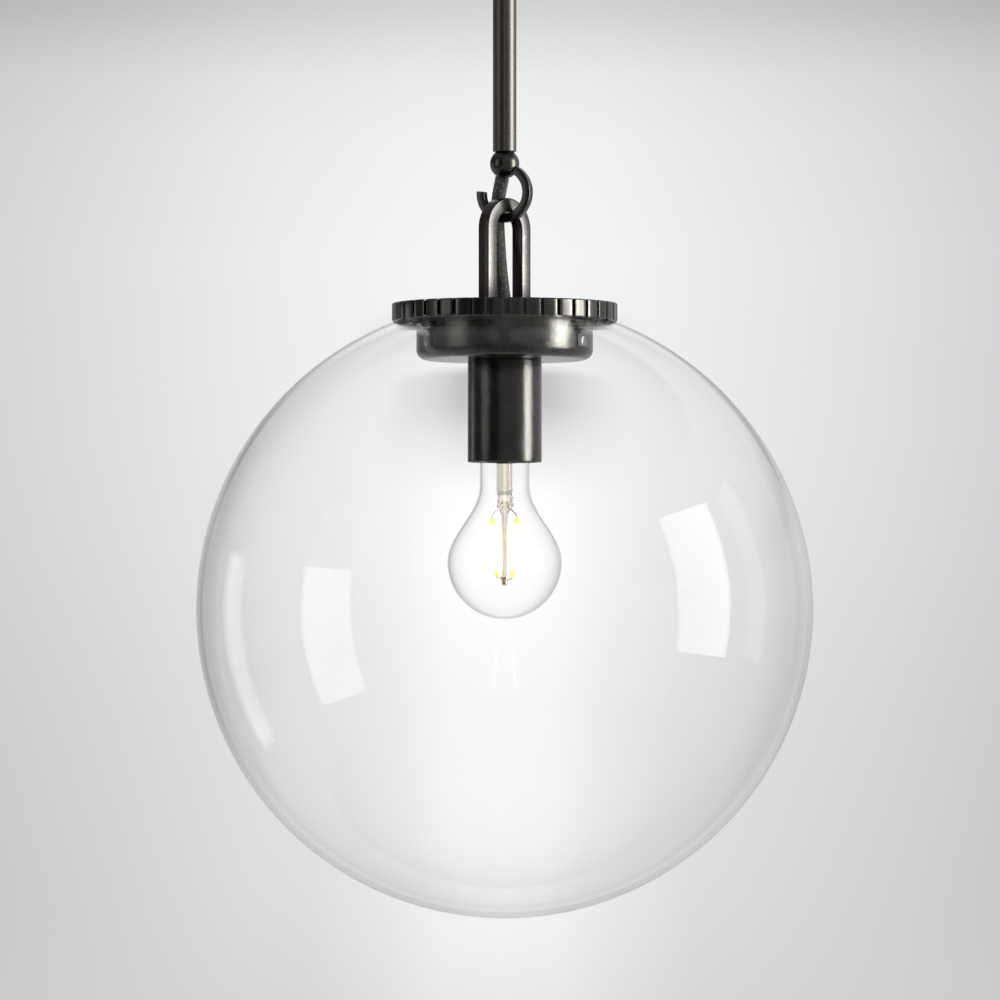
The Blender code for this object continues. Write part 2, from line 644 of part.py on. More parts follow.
def make_stem_tube(parent):
    """The round stem."""
    edge = (STEM_RADIUS - STEM_BORE) / 4
    outline = [(STEM_BORE, STEM_BOTTOM_Z), (STEM_RADIUS - edge, STEM_BOTTOM_Z),
               (STEM_RADIUS, STEM_BOTTOM_Z + edge), (STEM_RADIUS, STEM_TOP_Z - edge),
               (STEM_RADIUS - edge, STEM_TOP_Z), (STEM_BORE, STEM_TOP_Z)]
    add_piece("stem_tube", turned(outline, 24), "blackened_bronze", parent)


def plane_axes(turn):
    """The sideways direction and the normal of an upright plane turned about Z."""
    sideways = Vector((math.cos(turn), math.sin(turn), 0.0))
    normal = Vector((-math.sin(turn), math.cos(turn), 0.0))
    return sideways, normal


def make_hook_end(parent):
    """Spigot, ball and open hook as one casting, drilled for the cord."""
    spigot = STEM_BORE - RUNNING_GAP
    shoulder = math.degrees(math.acos(spigot / BALL_RADIUS))
    spigot_top = STEM_BOTTOM_Z + SPIGOT_LENGTH
    outline = [(0.0, spigot_top), (spigot, spigot_top)]
    outline += arc(0.0, BALL_Z, BALL_RADIUS, shoulder, -90.0, 9)
    outline[-1] = (0.0, BALL_Z - BALL_RADIUS)
    casting = add_piece("hook_end", turned(outline, 24), "blackened_bronze", parent)

    sideways, normal = plane_axes(HOOK_TURN)
    centre = Vector((0.0, 0.0, HOOK_Z))
    steps = 24
    path = []
    for step in range(steps + 1):
        angle = HOOK_START + (HOOK_END - HOOK_START) * step / steps
        path.append(centre + sideways * (HOOK_RADIUS * math.cos(angle))
                    + Vector((0.0, 0.0, HOOK_RADIUS * math.sin(angle))))
    hook = swept(path, normal, rounded_square(HOOK_BAR, HOOK_BAR_ROUNDING, 1))
    cut(casting, hook, "hook", "UNION")

    passage = [Vector((0.0, 0.0, spigot_top + CUT_MARGIN))]
    passage += [point for point in smooth_route(cord_knots(), 2.0 * MM)
                if BALL_Z - BALL_RADIUS - 3.0 * MM < point.z < BALL_Z + 5.0 * MM]
    cut(casting, round_cutter(passage, CORD_HOLE_RADIUS + 0.1 * MM), "cord_hole")


def make_stem_cord(parent):
    """The cord inside the stem and the three leads that leave it in the canopy."""
    top = Vector((0.0, 0.0, SWIVEL_Z + SWIVEL_BALL_RADIUS + 1.0 * MM))
    bottom = cord_knots()[0] + Vector((0.0, 0.0, GAP))
    tube_curve("cord_in_stem", [top, (top + bottom) / 2.0, bottom], CORD_RADIUS, "braided_cord", parent)
    leads = (("live", "lead_black", 90.0, 90.0), ("neutral", "lead_white", 210.0, 250.0),
             ("ground", "lead_green", 330.0, 290.0))
    for number, (word, finish, root, heading) in enumerate(leads, start=1):
        out = plane_axes(math.radians(heading))[0]
        start = top + Vector((0.0, 0.0, GAP)) + plane_axes(math.radians(root))[0] * (1.6 * MM)
        route = [start, start + out * (0.4 * MM) + Vector((0, 0, 1.4 * MM)),
                 start + out * (2.2 * MM) + Vector((0, 0, 2.8 * MM)),
                 start + out * (6.0 * MM) + Vector((0, 0, 2.9 * MM)),
                 start + out * (11.0 * MM) + Vector((0, 0, 1.6 * MM)),
                 start + out * (16.0 * MM) + Vector((0, 0, 0.6 * MM))]
        points = smooth_route(route, 1.5 * MM)
        tube_curve("lead_" + word, points, LEAD_RADIUS, finish, parent)
        direction = (points[-1] - points[-2]).normalized()
        cone = turned([(0.0, 0.0), (LEAD_RADIUS + 2.1 * MM, 0.0), (LEAD_RADIUS + 2.4 * MM, 4.0 * MM),
                       (LEAD_RADIUS + 1.2 * MM, 13.0 * MM), (0.0, 14.0 * MM)], 12)
        tilt = Vector((0.0, 0.0, 1.0)).rotation_difference(direction).to_matrix().to_4x4()
        place = Matrix.Translation(points[-1] + direction * GAP) @ tilt
        bmesh.ops.transform(cone, matrix=place, verts=cone.verts)
        add_piece(f"wire_connector_{number}", cone, "connector_plastic", parent)


# ---------------------------------------------------------------- loop and disc

def loop_leg_places():
    """Where the loop's two legs stand."""
    sideways, _ = plane_axes(LOOP_TURN)
    return [tuple((sideways * side * LOOP_RADIUS)[:2]) for side in (-1, 1)]


def make_hanger_loop(parent):
    """The U of square bar that hangs on the hook, with a threaded stud under each leg."""
    sideways, normal = plane_axes(LOOP_TURN)
    foot = DISC_TOP_Z + GAP
    up = Vector((0.0, 0.0, 1.0))
    path = [-sideways * LOOP_RADIUS + up * foot]
    steps = 16
    for step in range(steps + 1):
        angle = math.pi * (1.0 - step / steps)
        path.append(sideways * (LOOP_RADIUS * math.cos(angle)) + up * (LOOP_Z + LOOP_RADIUS * math.sin(angle)))
    path.append(sideways * LOOP_RADIUS + up * foot)
    loop = add_piece("hanger_loop", swept(path, normal, rounded_square(LOOP_BAR, LOOP_BAR_ROUNDING, 1)),
                     "blackened_bronze", parent)
    washer_top = PLATE_UNDER_Z - GAP
    nut_top = washer_top - WASHER_THICKNESS - GAP
    stud_end = nut_top - LOOP_NUT_HEIGHT - 1.5 * MM
    hole = LOOP_STUD_RADIUS + RUNNING_GAP
    for number, place in enumerate(loop_leg_places(), start=1):
        cut(loop, rod(LOOP_STUD_RADIUS, stud_end, foot + LOOP_BAR / 2, 20, place), f"stud_{number}", "UNION")
        washer = ring(hole, WASHER_RADIUS, washer_top - WASHER_THICKNESS, washer_top, 20)
        bmesh.ops.translate(washer, verts=washer.verts, vec=(place[0], place[1], 0.0))
        add_piece(f"loop_washer_{number}", washer, "plated_steel", parent)
        nut = hex_nut(LOOP_NUT_FLATS, hole, nut_top - LOOP_NUT_HEIGHT, nut_top, place)
        add_piece(f"loop_nut_{number}", nut, "plated_steel", parent)


def glass_height(radius):
    """The height of the globe's outside at a distance from the axis."""
    return GLOBE_CENTRE_Z + math.sqrt(GLOBE_RADIUS ** 2 - radius ** 2)


def make_gallery_disc(parent):
    """The notched disc that carries the glass and the collar."""
    bottom = glass_height(DISC_RADIUS) + DISC_TO_GLASS
    inner = DISC_RADIUS - DISC_RIM_WIDTH
    outline = [(NIPPLE_HOLE, DISC_TOP_Z), (NIPPLE_HOLE, PLATE_UNDER_Z), (inner, PLATE_UNDER_Z),
               (inner, glass_height(inner) + DISC_TO_GLASS), (DISC_RADIUS - DISC_EDGE, bottom),
               (DISC_RADIUS, bottom + DISC_EDGE), (DISC_RADIUS, DISC_TOP_Z - DISC_EDGE),
               (DISC_RADIUS - DISC_EDGE, DISC_TOP_Z)]
    first = -math.pi / 2 + NOTCH_PHASE
    half_pitch = math.pi / NOTCH_COUNT
    disc = add_piece("gallery_disc", turned(outline, 2 * NOTCH_COUNT, first + half_pitch / 2),
                     "blackened_bronze", parent)
    cutters = []
    for number in range(NOTCH_COUNT):
        notch = box((DISC_RADIUS - NOTCH_DEPTH, -NOTCH_WIDTH / 2, bottom - CUT_MARGIN),
                    (DISC_RADIUS + CUT_MARGIN, NOTCH_WIDTH / 2, DISC_TOP_Z + CUT_MARGIN))
        turn = Matrix.Rotation(first + number * FULL_TURN / NOTCH_COUNT, 4, "Z")
        bmesh.ops.transform(notch, matrix=turn, verts=notch.verts)
        cutters.append(notch)
    cut(disc, join(*cutters), "notches")
    for number, place in enumerate(loop_leg_places(), start=1):
        cut(disc, rod(LOOP_STUD_RADIUS + RUNNING_GAP, PLATE_UNDER_Z - CUT_MARGIN,
                      DISC_TOP_Z + CUT_MARGIN, 20, place), f"stud_hole_{number}")


def make_center_nipple(parent):
    """The hollow threaded tube that holds the disc, collar, cup and socket together."""
    add_piece("center_nipple", ring(NIPPLE_BORE, NIPPLE_RADIUS, NIPPLE_BOTTOM_Z, DISC_TOP_Z, 28),
              "plated_steel", parent)


def radial(bm, degrees):
    """Turn a shape built along +X to point outwards at the given angle."""
    bmesh.ops.transform(bm, matrix=Matrix.Rotation(math.radians(degrees), 4, "Z"), verts=bm.verts)
    return bm


def pin_along_x(radius, start, end, height, sides=12):
    """A round pin lying along X at a height."""
    bm = rod(radius, start, end, sides)
    lay_down = Matrix.Translation((0.0, 0.0, height)) @ Matrix.Rotation(math.pi / 2, 4, "Y")
    bmesh.ops.transform(bm, matrix=lay_down, verts=bm.verts)
    return bm


def make_collar(parent):
    """The cup under the disc, with its rounded bottom edge inside the glass."""
    inner = COLLAR_RADIUS - COLLAR_WALL
    floor = COLLAR_BOTTOM_Z + COLLAR_FLOOR
    inner_fillet = COLLAR_FILLET - COLLAR_WALL
    outline = [(NIPPLE_HOLE, COLLAR_BOTTOM_Z)]
    outline += arc(COLLAR_RADIUS - COLLAR_FILLET, COLLAR_BOTTOM_Z + COLLAR_FILLET, COLLAR_FILLET, -90.0, 0.0, 4)
    outline += [(COLLAR_RADIUS, COLLAR_TOP_Z), (inner, COLLAR_TOP_Z)]
    outline += arc(inner - inner_fillet, floor + inner_fillet, inner_fillet, 0.0, -90.0, 3)
    outline += [(NIPPLE_HOLE, floor)]
    collar = add_piece("collar_cup", turned(outline, 40), "blackened_bronze", parent)
    for number, degrees in enumerate(CLIP_ANGLES, start=1):
        hole = pin_along_x(RIVET_SHANK_RADIUS + RUNNING_GAP, inner - CUT_MARGIN,
                           COLLAR_RADIUS + CUT_MARGIN, RIVET_Z)
        cut(collar, radial(hole, degrees), f"rivet_hole_{number}")


def make_clips(parent):
    """Three spring clips on the collar that bow out under the edge of the glass."""
    foot = COLLAR_RADIUS + GAP / 2 + CLIP_THICKNESS / 2
    low = RIVET_Z - CLIP_FOOT_HEIGHT / 2
    glass_low = GLOBE_CENTRE_Z + math.sqrt((GLOBE_RADIUS - GLOBE_WALL) ** 2 - GLOBE_OPENING ** 2)
    bulge = GLOBE_OPENING + CLIP_BULGE
    bend = low + CLIP_FOOT_HEIGHT
    shape = ((foot, low), (foot, bend - 1.0 * MM), (foot + 0.5 * MM, bend + 0.8 * MM),
             (bulge - 1.2 * MM, glass_low - 5.6 * MM), (bulge, glass_low - 3.6 * MM),
             (bulge - 0.7 * MM, glass_low - 2.1 * MM), (foot + 1.2 * MM, glass_low - 0.9 * MM),
             (foot + 0.1 * MM, glass_low + 0.6 * MM))
    points = smooth_route([(r, 0.0, z) for r, z in shape], 1.2 * MM)
    half = CLIP_THICKNESS / 2
    section = [(-half, -CLIP_WIDTH / 2), (half, -CLIP_WIDTH / 2), (half, CLIP_WIDTH / 2), (-half, CLIP_WIDTH / 2)]
    for number, degrees in enumerate(CLIP_ANGLES, start=1):
        strip = swept(points, (0.0, 1.0, 0.0), section)
        clip = add_piece(f"globe_clip_{number}", radial(strip, degrees), "spring_steel", parent)
        hole = pin_along_x(RIVET_SHANK_RADIUS + RUNNING_GAP, COLLAR_RADIUS - CUT_MARGIN,
                           foot + CUT_MARGIN, RIVET_Z)
        cut(clip, radial(hole, degrees), "rivet_hole")
        head = foot + half + 0.1 * MM
        outline = [(0.0, COLLAR_RADIUS - COLLAR_WALL - 1.0 * MM),
                   (RIVET_SHANK_RADIUS, COLLAR_RADIUS - COLLAR_WALL - 1.0 * MM), (RIVET_SHANK_RADIUS, head),
                   (RIVET_HEAD_RADIUS, head), (RIVET_HEAD_RADIUS - 0.4 * MM, head + RIVET_HEAD_HEIGHT),
                   (0.0, head + RIVET_HEAD_HEIGHT)]
        rivet = turned(outline, 12)
        lay_down = Matrix.Translation((0.0, 0.0, RIVET_Z)) @ Matrix.Rotation(math.pi / 2, 4, "Y")
        bmesh.ops.transform(rivet, matrix=lay_down, verts=rivet.verts)
        add_piece(f"clip_rivet_{number}", radial(rivet, degrees), "plated_steel", parent)


def make_gasket(parent):
    """The soft ring between the top edge of the glass and the disc."""
    inner = COLLAR_RADIUS + 2 * GAP
    add_piece("globe_gasket", ring(inner, inner + GASKET_WIDTH,
                                   GLOBE_EDGE_Z + GAP, COLLAR_TOP_Z, 36), "silicone", parent)


# ---------------------------------------------------------------- socket

def make_socket_cup(parent):
    """The plain cylinder that hides the socket."""
    inner = CUP_RADIUS - CUP_WALL
    edge = 0.5 * MM
    outline = [(NIPPLE_HOLE, CUP_TOP_Z), (CUP_RADIUS - edge, CUP_TOP_Z), (CUP_RADIUS, CUP_TOP_Z - edge),
               (CUP_RADIUS, CUP_BOTTOM_Z + edge), (CUP_RADIUS - edge, CUP_BOTTOM_Z), (inner, CUP_BOTTOM_Z),
               (inner, CUP_TOP_Z - CUP_TOP), (NIPPLE_HOLE, CUP_TOP_Z - CUP_TOP)]
    add_piece("socket_cup", turned(list(reversed(outline)), 32), "blackened_bronze", parent)
    nut = hex_nut(LOCKNUT_FLATS, NIPPLE_HOLE, LOCKNUT_TOP_Z - LOCKNUT_HEIGHT, LOCKNUT_TOP_Z)
    add_piece("cup_locknut", nut, "plated_steel", parent)


def make_socket(parent):
    """Cap, body, threaded shell and contact of the lamp socket."""
    cap_inner = SOCKET_RADIUS - SOCKET_CAP_WALL
    cap_low = SOCKET_CAP_TOP_Z - SOCKET_CAP_HEIGHT
    cap = [(NIPPLE_HOLE, SOCKET_CAP_TOP_Z), (SOCKET_RADIUS - 2.0 * MM, SOCKET_CAP_TOP_Z),
           (SOCKET_RADIUS, SOCKET_CAP_TOP_Z - 2.0 * MM), (SOCKET_RADIUS, cap_low), (cap_inner, cap_low),
           (cap_inner, SOCKET_CAP_TOP_Z - 2.5 * MM), (NIPPLE_HOLE, SOCKET_CAP_TOP_Z - 2.5 * MM)]
    add_piece("socket_cap", turned(cap, 24), "brass", parent)

    top = SOCKET_BODY_TOP_Z
    under = top - SOCKET_BODY_TOP
    cavity = SHELL_INNER_RADIUS + SHELL_WALL + GAP
    hole = CONTACT_RADIUS / 2 + RUNNING_GAP
    body_low = top - SOCKET_BODY_HEIGHT
    body = [(hole, top), (SOCKET_RADIUS, top), (SOCKET_RADIUS, body_low), (cavity, body_low),
            (cavity, under), (hole, under)]
    socket = add_piece("socket_body", turned(body, 24), "porcelain", parent)
    for side, word in ((-1, "left"), (1, "right")):
        cut(socket, rod(TERMINAL_SHANK_RADIUS + RUNNING_GAP, under + 1.0 * MM, top + CUT_MARGIN, 16,
                        (side * TERMINAL_SPREAD, 0.0)), "terminal_hole_" + word)

    shell_low = SHELL_TOP_Z - SHELL_HEIGHT
    outer = SHELL_INNER_RADIUS + SHELL_WALL
    shell = [(9.0 * MM, SHELL_TOP_Z), (outer, SHELL_TOP_Z), (outer, shell_low), (SHELL_INNER_RADIUS, shell_low),
             (SHELL_INNER_RADIUS, SHELL_TOP_Z - SHELL_WALL), (9.0 * MM, SHELL_TOP_Z - SHELL_WALL)]
    add_piece("socket_screw_shell", turned(shell, 24), "brass", parent)

    contact = [(0.0, CONTACT_FACE_Z), (CONTACT_RADIUS, CONTACT_FACE_Z), (CONTACT_RADIUS, under - GAP),
               (CONTACT_RADIUS / 2, under - GAP), (CONTACT_RADIUS / 2, top - 1.0 * MM), (0.0, top - 1.0 * MM)]
    add_piece("socket_contact", turned(contact, 16), "brass", parent)


def make_terminals(parent):
    """Two terminal screws on the socket and the leads that come to them from the cord."""
    top = SOCKET_BODY_TOP_Z
    cord_end = cord_knots()[-1].z
    leads = ((-1, "lead_black"), (1, "lead_white"))
    for number, (side, finish) in enumerate(leads, start=1):
        outline = [(0.0, top - 3.5 * MM), (TERMINAL_SHANK_RADIUS, top - 3.5 * MM),
                   (TERMINAL_SHANK_RADIUS, top + GAP), (TERMINAL_HEAD_RADIUS, top + GAP),
                   (TERMINAL_HEAD_RADIUS, top + 2.2 * MM), (0.0, top + 2.2 * MM)]
        screw = turned(outline, 16)
        bmesh.ops.translate(screw, verts=screw.verts, vec=(side * TERMINAL_SPREAD, 0.0, 0.0))
        add_piece(f"terminal_screw_{number}", screw, "brass", parent)
        start = Vector((side * 1.7 * MM, 0.0, cord_end - GAP))
        end = Vector((side * TERMINAL_SPREAD, 0.0, top + 2.2 * MM + GAP))
        drop = Vector((0.0, 0.0, start.z - end.z))
        route = [start, start - drop * 0.35, start.lerp(end, 0.5) - drop * 0.08, end + drop * 0.3, end]
        points = smooth_route(route, 1.2 * MM)
        tube_curve(f"socket_lead_{number}", points, LEAD_RADIUS, finish, parent)


# ---------------------------------------------------------------- globe and lamp

def make_globe(parent):
    """The blown glass globe, open at the top."""
    inner_radius = GLOBE_RADIUS - GLOBE_WALL
    outer_edge = math.degrees(math.acos(GLOBE_OPENING / GLOBE_RADIUS))
    inner_edge = math.degrees(math.acos(GLOBE_OPENING / inner_radius))
    outline = arc(0.0, GLOBE_CENTRE_Z, GLOBE_RADIUS, outer_edge, -90.0, 16)
    outline[-1] = (0.0, GLOBE_CENTRE_Z - GLOBE_RADIUS)
    inside = arc(0.0, GLOBE_CENTRE_Z, inner_radius, -90.0, inner_edge, 16)
    inside[0] = (0.0, GLOBE_CENTRE_Z - inner_radius)
    add_piece("glass_globe", turned(outline + inside, 40), "clear_glass", parent)


def make_lamp_base(parent):
    """Screw shell, insulator and contact of the lamp, with its driver board inside."""
    low = CONTACT_FACE_Z - GAP - 1.2 * MM
    add_piece("bulb_contact", rod(3.8 * MM, low, CONTACT_FACE_Z - GAP, 16), "brass", parent)
    top = low - GAP
    cone = [(0.0, BASE_TOP_Z + GAP), (9.6 * MM, BASE_TOP_Z + GAP), (5.0 * MM, top), (0.0, top)]
    add_piece("bulb_base_insulator", turned(cone, 20), "black_glass", parent)
    inner = BASE_RADIUS - BASE_WALL
    shoulder = 2.0 * MM
    shell = [(7.0 * MM, BASE_TOP_Z), (BASE_RADIUS - shoulder, BASE_TOP_Z), (BASE_RADIUS, BASE_TOP_Z - shoulder),
             (BASE_RADIUS, BASE_BOTTOM_Z), (inner, BASE_BOTTOM_Z), (inner, BASE_TOP_Z - shoulder),
             (inner - shoulder, BASE_TOP_Z - BASE_WALL), (7.0 * MM, BASE_TOP_Z - BASE_WALL)]
    add_piece("bulb_base_shell", turned(shell, 24), "plated_steel", parent)
    board_top = BASE_TOP_Z - 2.0 * MM
    add_piece("bulb_driver_board", box((-7.0 * MM, -0.8 * MM, board_top - 13.0 * MM),
                                       (7.0 * MM, 0.8 * MM, board_top)), "circuit_board", parent)


def bulb_outline(inset):
    """The lamp glass from its open neck to its tip, set in by a wall."""
    neck_low = BULB_NECK_Z - BULB_NECK_RUN
    neck = BULB_NECK_RADIUS - inset
    radius = BULB_RADIUS - inset
    points = [(BULB_MOUTH_RADIUS - inset, BULB_MOUTH_Z), (BULB_MOUTH_RADIUS - inset, BASE_BOTTOM_Z),
              (neck - 0.4 * MM, BULB_NECK_Z + 1.0 * MM), (neck, BULB_NECK_Z - 1.0 * MM)]
    rise = neck_low - BULB_CENTRE_Z
    steps = 5
    for step in range(steps):
        share = step / steps
        blend = 0.5 - 0.5 * math.cos(math.pi * share)
        points.append((neck + (radius - neck) * blend, neck_low - rise * share))
    points += arc(0.0, BULB_CENTRE_Z, radius, 0.0, -90.0, 6)
    points[-1] = (0.0, BULB_CENTRE_Z - radius)
    return points


def make_bulb_glass(parent):
    """The clear lamp glass, and the glass stem that closes it and carries the filaments."""
    outline = bulb_outline(0.0) + list(reversed(bulb_outline(BULB_WALL)))
    add_piece("bulb_glass", turned(outline, 24), "lamp_glass", parent)
    flare = BULB_MOUTH_RADIUS - BULB_WALL - GAP
    flare_low = BULB_MOUTH_Z - 1.2 * MM
    tube_low = flare_low - STEM_TUBE_LENGTH
    pinch_low = tube_low - PINCH_LENGTH
    outline = [(0.0, BULB_MOUTH_Z), (flare, BULB_MOUTH_Z), (flare, flare_low),
               (STEM_TUBE_RADIUS + 2.0 * MM, flare_low - 1.0 * MM), (STEM_TUBE_RADIUS, flare_low - 4.0 * MM),
               (STEM_TUBE_RADIUS, tube_low), (GLASS_ROD_RADIUS + 1.4 * MM, tube_low - 3.0 * MM),
               (GLASS_ROD_RADIUS + 0.8 * MM, pinch_low), (GLASS_ROD_RADIUS, pinch_low - 2.0 * MM),
               (GLASS_ROD_RADIUS, HUB_TOP_Z + GAP), (0.0, HUB_TOP_Z + GAP)]
    add_piece("bulb_stem", turned(outline, 20), "lamp_glass", parent)


def make_filaments(parent):
    """Four straight filaments that lean in towards a small hub."""
    lean = FILAMENT_TOP_SPREAD - FILAMENT_BOTTOM_SPREAD
    drop = math.sqrt(FILAMENT_LENGTH ** 2 - lean ** 2)
    for number in range(FILAMENT_COUNT):
        angle = FULL_TURN * (number + 0.5) / FILAMENT_COUNT
        out = Vector((math.cos(angle), math.sin(angle), 0.0))
        top = out * FILAMENT_TOP_SPREAD + Vector((0.0, 0.0, FILAMENT_TOP_Z))
        bottom = out * FILAMENT_BOTTOM_SPREAD + Vector((0.0, 0.0, FILAMENT_TOP_Z - drop))
        tube_curve(f"filament_{number + 1}", [top, (top + bottom) / 2, bottom], FILAMENT_RADIUS,
                   "filament", parent)
    hub = [(0.0, HUB_TOP_Z - 5.0 * MM), (1.4 * MM, HUB_TOP_Z - 5.0 * MM), (2.4 * MM, HUB_TOP_Z - 2.0 * MM),
           (2.4 * MM, HUB_TOP_Z), (0.0, HUB_TOP_Z)]
    add_piece("filament_hub", turned(hub, 16), "plated_steel", parent)


# ---------------------------------------------------------------- assembly

def main():
    clear_scene()
    stem = pivot("stem_pivot", (0.0, 0.0, SWIVEL_Z))
    shade = pivot("shade_pivot", (0.0, 0.0, SWING_Z), stem)
    globe = pivot("globe_slide", (0.0, 0.0, GLOBE_CENTRE_Z), shade)
    lamp = pivot("lamp_thread", (0.0, 0.0, BASE_BOTTOM_Z), shade)

    make_canopy()
    make_strap()
    make_canopy_screws()
    make_ground_screw()
    make_swivel_seat()

    make_swivel_ball(stem)
    make_stem_tube(stem)
    make_hook_end(stem)
    make_stem_cord(stem)

    make_hanger_loop(shade)
    make_gallery_disc(shade)
    make_center_nipple(shade)
    tube_curve("cord_free", smooth_route(cord_knots(), 4.0 * MM), CORD_RADIUS, "braided_cord", shade)
    make_collar(shade)
    make_clips(shade)
    make_gasket(shade)
    make_socket_cup(shade)
    make_socket(shade)
    make_terminals(shade)

    make_globe(globe)
    make_lamp_base(lamp)
    make_bulb_glass(lamp)
    make_filaments(lamp)


main()
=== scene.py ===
# %% [markdown]
# # A glass globe pendant, piece by piece
# This lesson models the visible pieces of a pendant light around its fixed frame: a canopy, a stem
# with a ball and an open hook, a loop, a notched disc, a collar, a clear glass globe and a lit
# lamp. The frame gives every place and size, in metres, with Z up and the ceiling at zero.

# %% Load the frame
import math

import bpy
from mathutils import Matrix, Vector


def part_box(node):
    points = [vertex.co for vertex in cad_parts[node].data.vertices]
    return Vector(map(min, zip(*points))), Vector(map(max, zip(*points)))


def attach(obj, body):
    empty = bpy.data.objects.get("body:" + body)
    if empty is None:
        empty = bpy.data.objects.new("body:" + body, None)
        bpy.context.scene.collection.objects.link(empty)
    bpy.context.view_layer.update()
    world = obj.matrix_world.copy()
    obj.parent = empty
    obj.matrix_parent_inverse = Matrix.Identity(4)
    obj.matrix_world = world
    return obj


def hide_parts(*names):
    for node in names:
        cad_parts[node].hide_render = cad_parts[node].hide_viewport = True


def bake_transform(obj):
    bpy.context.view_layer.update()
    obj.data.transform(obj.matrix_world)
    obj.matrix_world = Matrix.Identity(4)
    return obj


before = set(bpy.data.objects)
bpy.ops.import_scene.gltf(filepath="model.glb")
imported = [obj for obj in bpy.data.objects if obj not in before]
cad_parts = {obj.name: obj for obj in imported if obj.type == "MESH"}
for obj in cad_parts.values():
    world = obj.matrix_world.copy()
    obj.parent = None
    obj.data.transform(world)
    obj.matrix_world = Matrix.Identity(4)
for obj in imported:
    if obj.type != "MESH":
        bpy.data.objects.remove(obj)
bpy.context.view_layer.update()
MM = 0.001
TURN = 2.0 * math.pi
UP = Vector((0.0, 0.0, 1.0))

# %% [markdown]
# ## Camera
# A hanging lamp is best shown from its own height, so that the globe keeps its round outline. A
# long lens from 2.7 m away keeps the disc and the collar nearly flat, as in a catalogue view.

# %% Camera
CAMERA_PLACE = Vector((-0.0027, -2.656, -0.4319))
CAMERA_PITCH = math.radians(90.872)

camera_data = bpy.data.cameras.new("camera")
camera_data.lens = 165.6
camera_data.sensor_width = 36.0
camera_data.clip_end = 60.0
camera = bpy.data.objects.new("camera", camera_data)
camera.location = CAMERA_PLACE
camera.rotation_euler = (CAMERA_PITCH, 0.0, 0.0)
bpy.context.scene.collection.objects.link(camera)
bpy.context.scene.camera = camera
print("camera", tuple(round(c, 4) for c in camera.location))

# %% [markdown]
# ## Working in edit mode
# Every operator acts on what is selected, so each piece starts with nothing else selected. Most
# pieces of a lamp are turned on a lathe or spun from sheet. The same is done here: a plane is
# merged to one point, the point is extruded along half of the section, and the line is spun.
# Merging the doubled seam and turning all faces outwards closes the piece.

# %% Helpers for selecting, cleaning and applying
def only(piece=None):
    """Leave edit mode, and select one object and nothing else."""
    if bpy.context.object is not None and bpy.context.object.mode != "OBJECT":
        bpy.ops.object.mode_set(mode="OBJECT")
    bpy.ops.object.select_all(action="DESELECT")
    if piece is not None:
        piece.select_set(True)
        bpy.context.view_layer.objects.active = piece


def edit(piece, action="SELECT"):
    """Open one object in edit mode, with all of it selected or none."""
    only(piece)
    bpy.ops.object.mode_set(mode="EDIT")
    bpy.ops.mesh.select_mode(type="VERT")
    bpy.ops.mesh.select_all(action=action)


def close_up(piece):
    """Merge the seam, turn the faces outwards, and put the place into the mesh."""
    edit(piece)
    bpy.ops.mesh.remove_doubles(threshold=2e-6)
    bpy.ops.mesh.dissolve_degenerate(threshold=1e-6)
    bpy.ops.mesh.select_all(action="SELECT")
    bpy.ops.mesh.normals_make_consistent(inside=False)
    only(piece)
    bpy.ops.object.transform_apply(location=True, rotation=True, scale=True)
    return piece


def new_primitive(name, operator, **settings):
    """Add a primitive with nothing else selected, and name it."""
    only()
    operator(**settings)
    piece = bpy.context.object
    piece.name = name
    return piece


def apply_modifier(piece, kind, **settings):
    """Put a modifier on a piece and apply it."""
    only(piece)
    modifier = piece.modifiers.new(kind.lower(), kind)
    for setting, value in settings.items():
        setattr(modifier, setting, value)
    bpy.ops.object.modifier_apply(modifier=modifier.name)
    return piece


def break_edges(piece, width, segments=2, angle=40.0):
    """Bevel the sharp edges, as a file or a tumbler does."""
    return apply_modifier(piece, "BEVEL", width=width, segments=segments, limit_method="ANGLE",
                          angle_limit=math.radians(angle), use_clamp_overlap=True)


def carve(piece, tool, operation="DIFFERENCE"):
    """Cut a tool's shape out of a piece, or weld it on, and put the tool away."""
    apply_modifier(piece, "BOOLEAN", operation=operation, solver="EXACT", object=tool)
    bpy.data.objects.remove(tool)
    return piece


# %% Helpers for lines, turning and bars
def bend(centre_r, centre_z, radius, start, end, steps):
    """Points on an arc of an outline, with angles in degrees from outwards towards up."""
    return [(centre_r + radius * math.cos(math.radians(start + (end - start) * step / steps)),
             centre_z + radius * math.sin(math.radians(start + (end - start) * step / steps)))
            for step in range(steps + 1)]


def line(name, points):
    """Extrude one merged vertex from point to point, and stay in edit mode."""
    piece = new_primitive(name, bpy.ops.mesh.primitive_plane_add, size=MM)
    edit(piece)
    bpy.ops.mesh.merge(type="CENTER")
    bpy.ops.transform.translate(value=points[0])
    for before, after in zip(points, points[1:]):
        step = Vector(after) - Vector(before)
        bpy.ops.mesh.extrude_region_move(TRANSFORM_OT_translate={"value": step})
    return piece


def turned(name, outline, steps=96, closed=True, place=(0.0, 0.0), start=0.0):
    """Turn an outline of (radius, height) points about an upright axis."""
    cos, sin = math.cos(start), math.sin(start)
    points = [(place[0] + r * cos, place[1] + r * sin, z) for r, z in outline]
    piece = line(name, points + points[:1] if closed else points)
    bpy.ops.mesh.select_all(action="SELECT")
    bpy.ops.mesh.spin(steps=steps, angle=TURN, center=(place[0], place[1], 0.0), axis=UP)
    return close_up(piece)


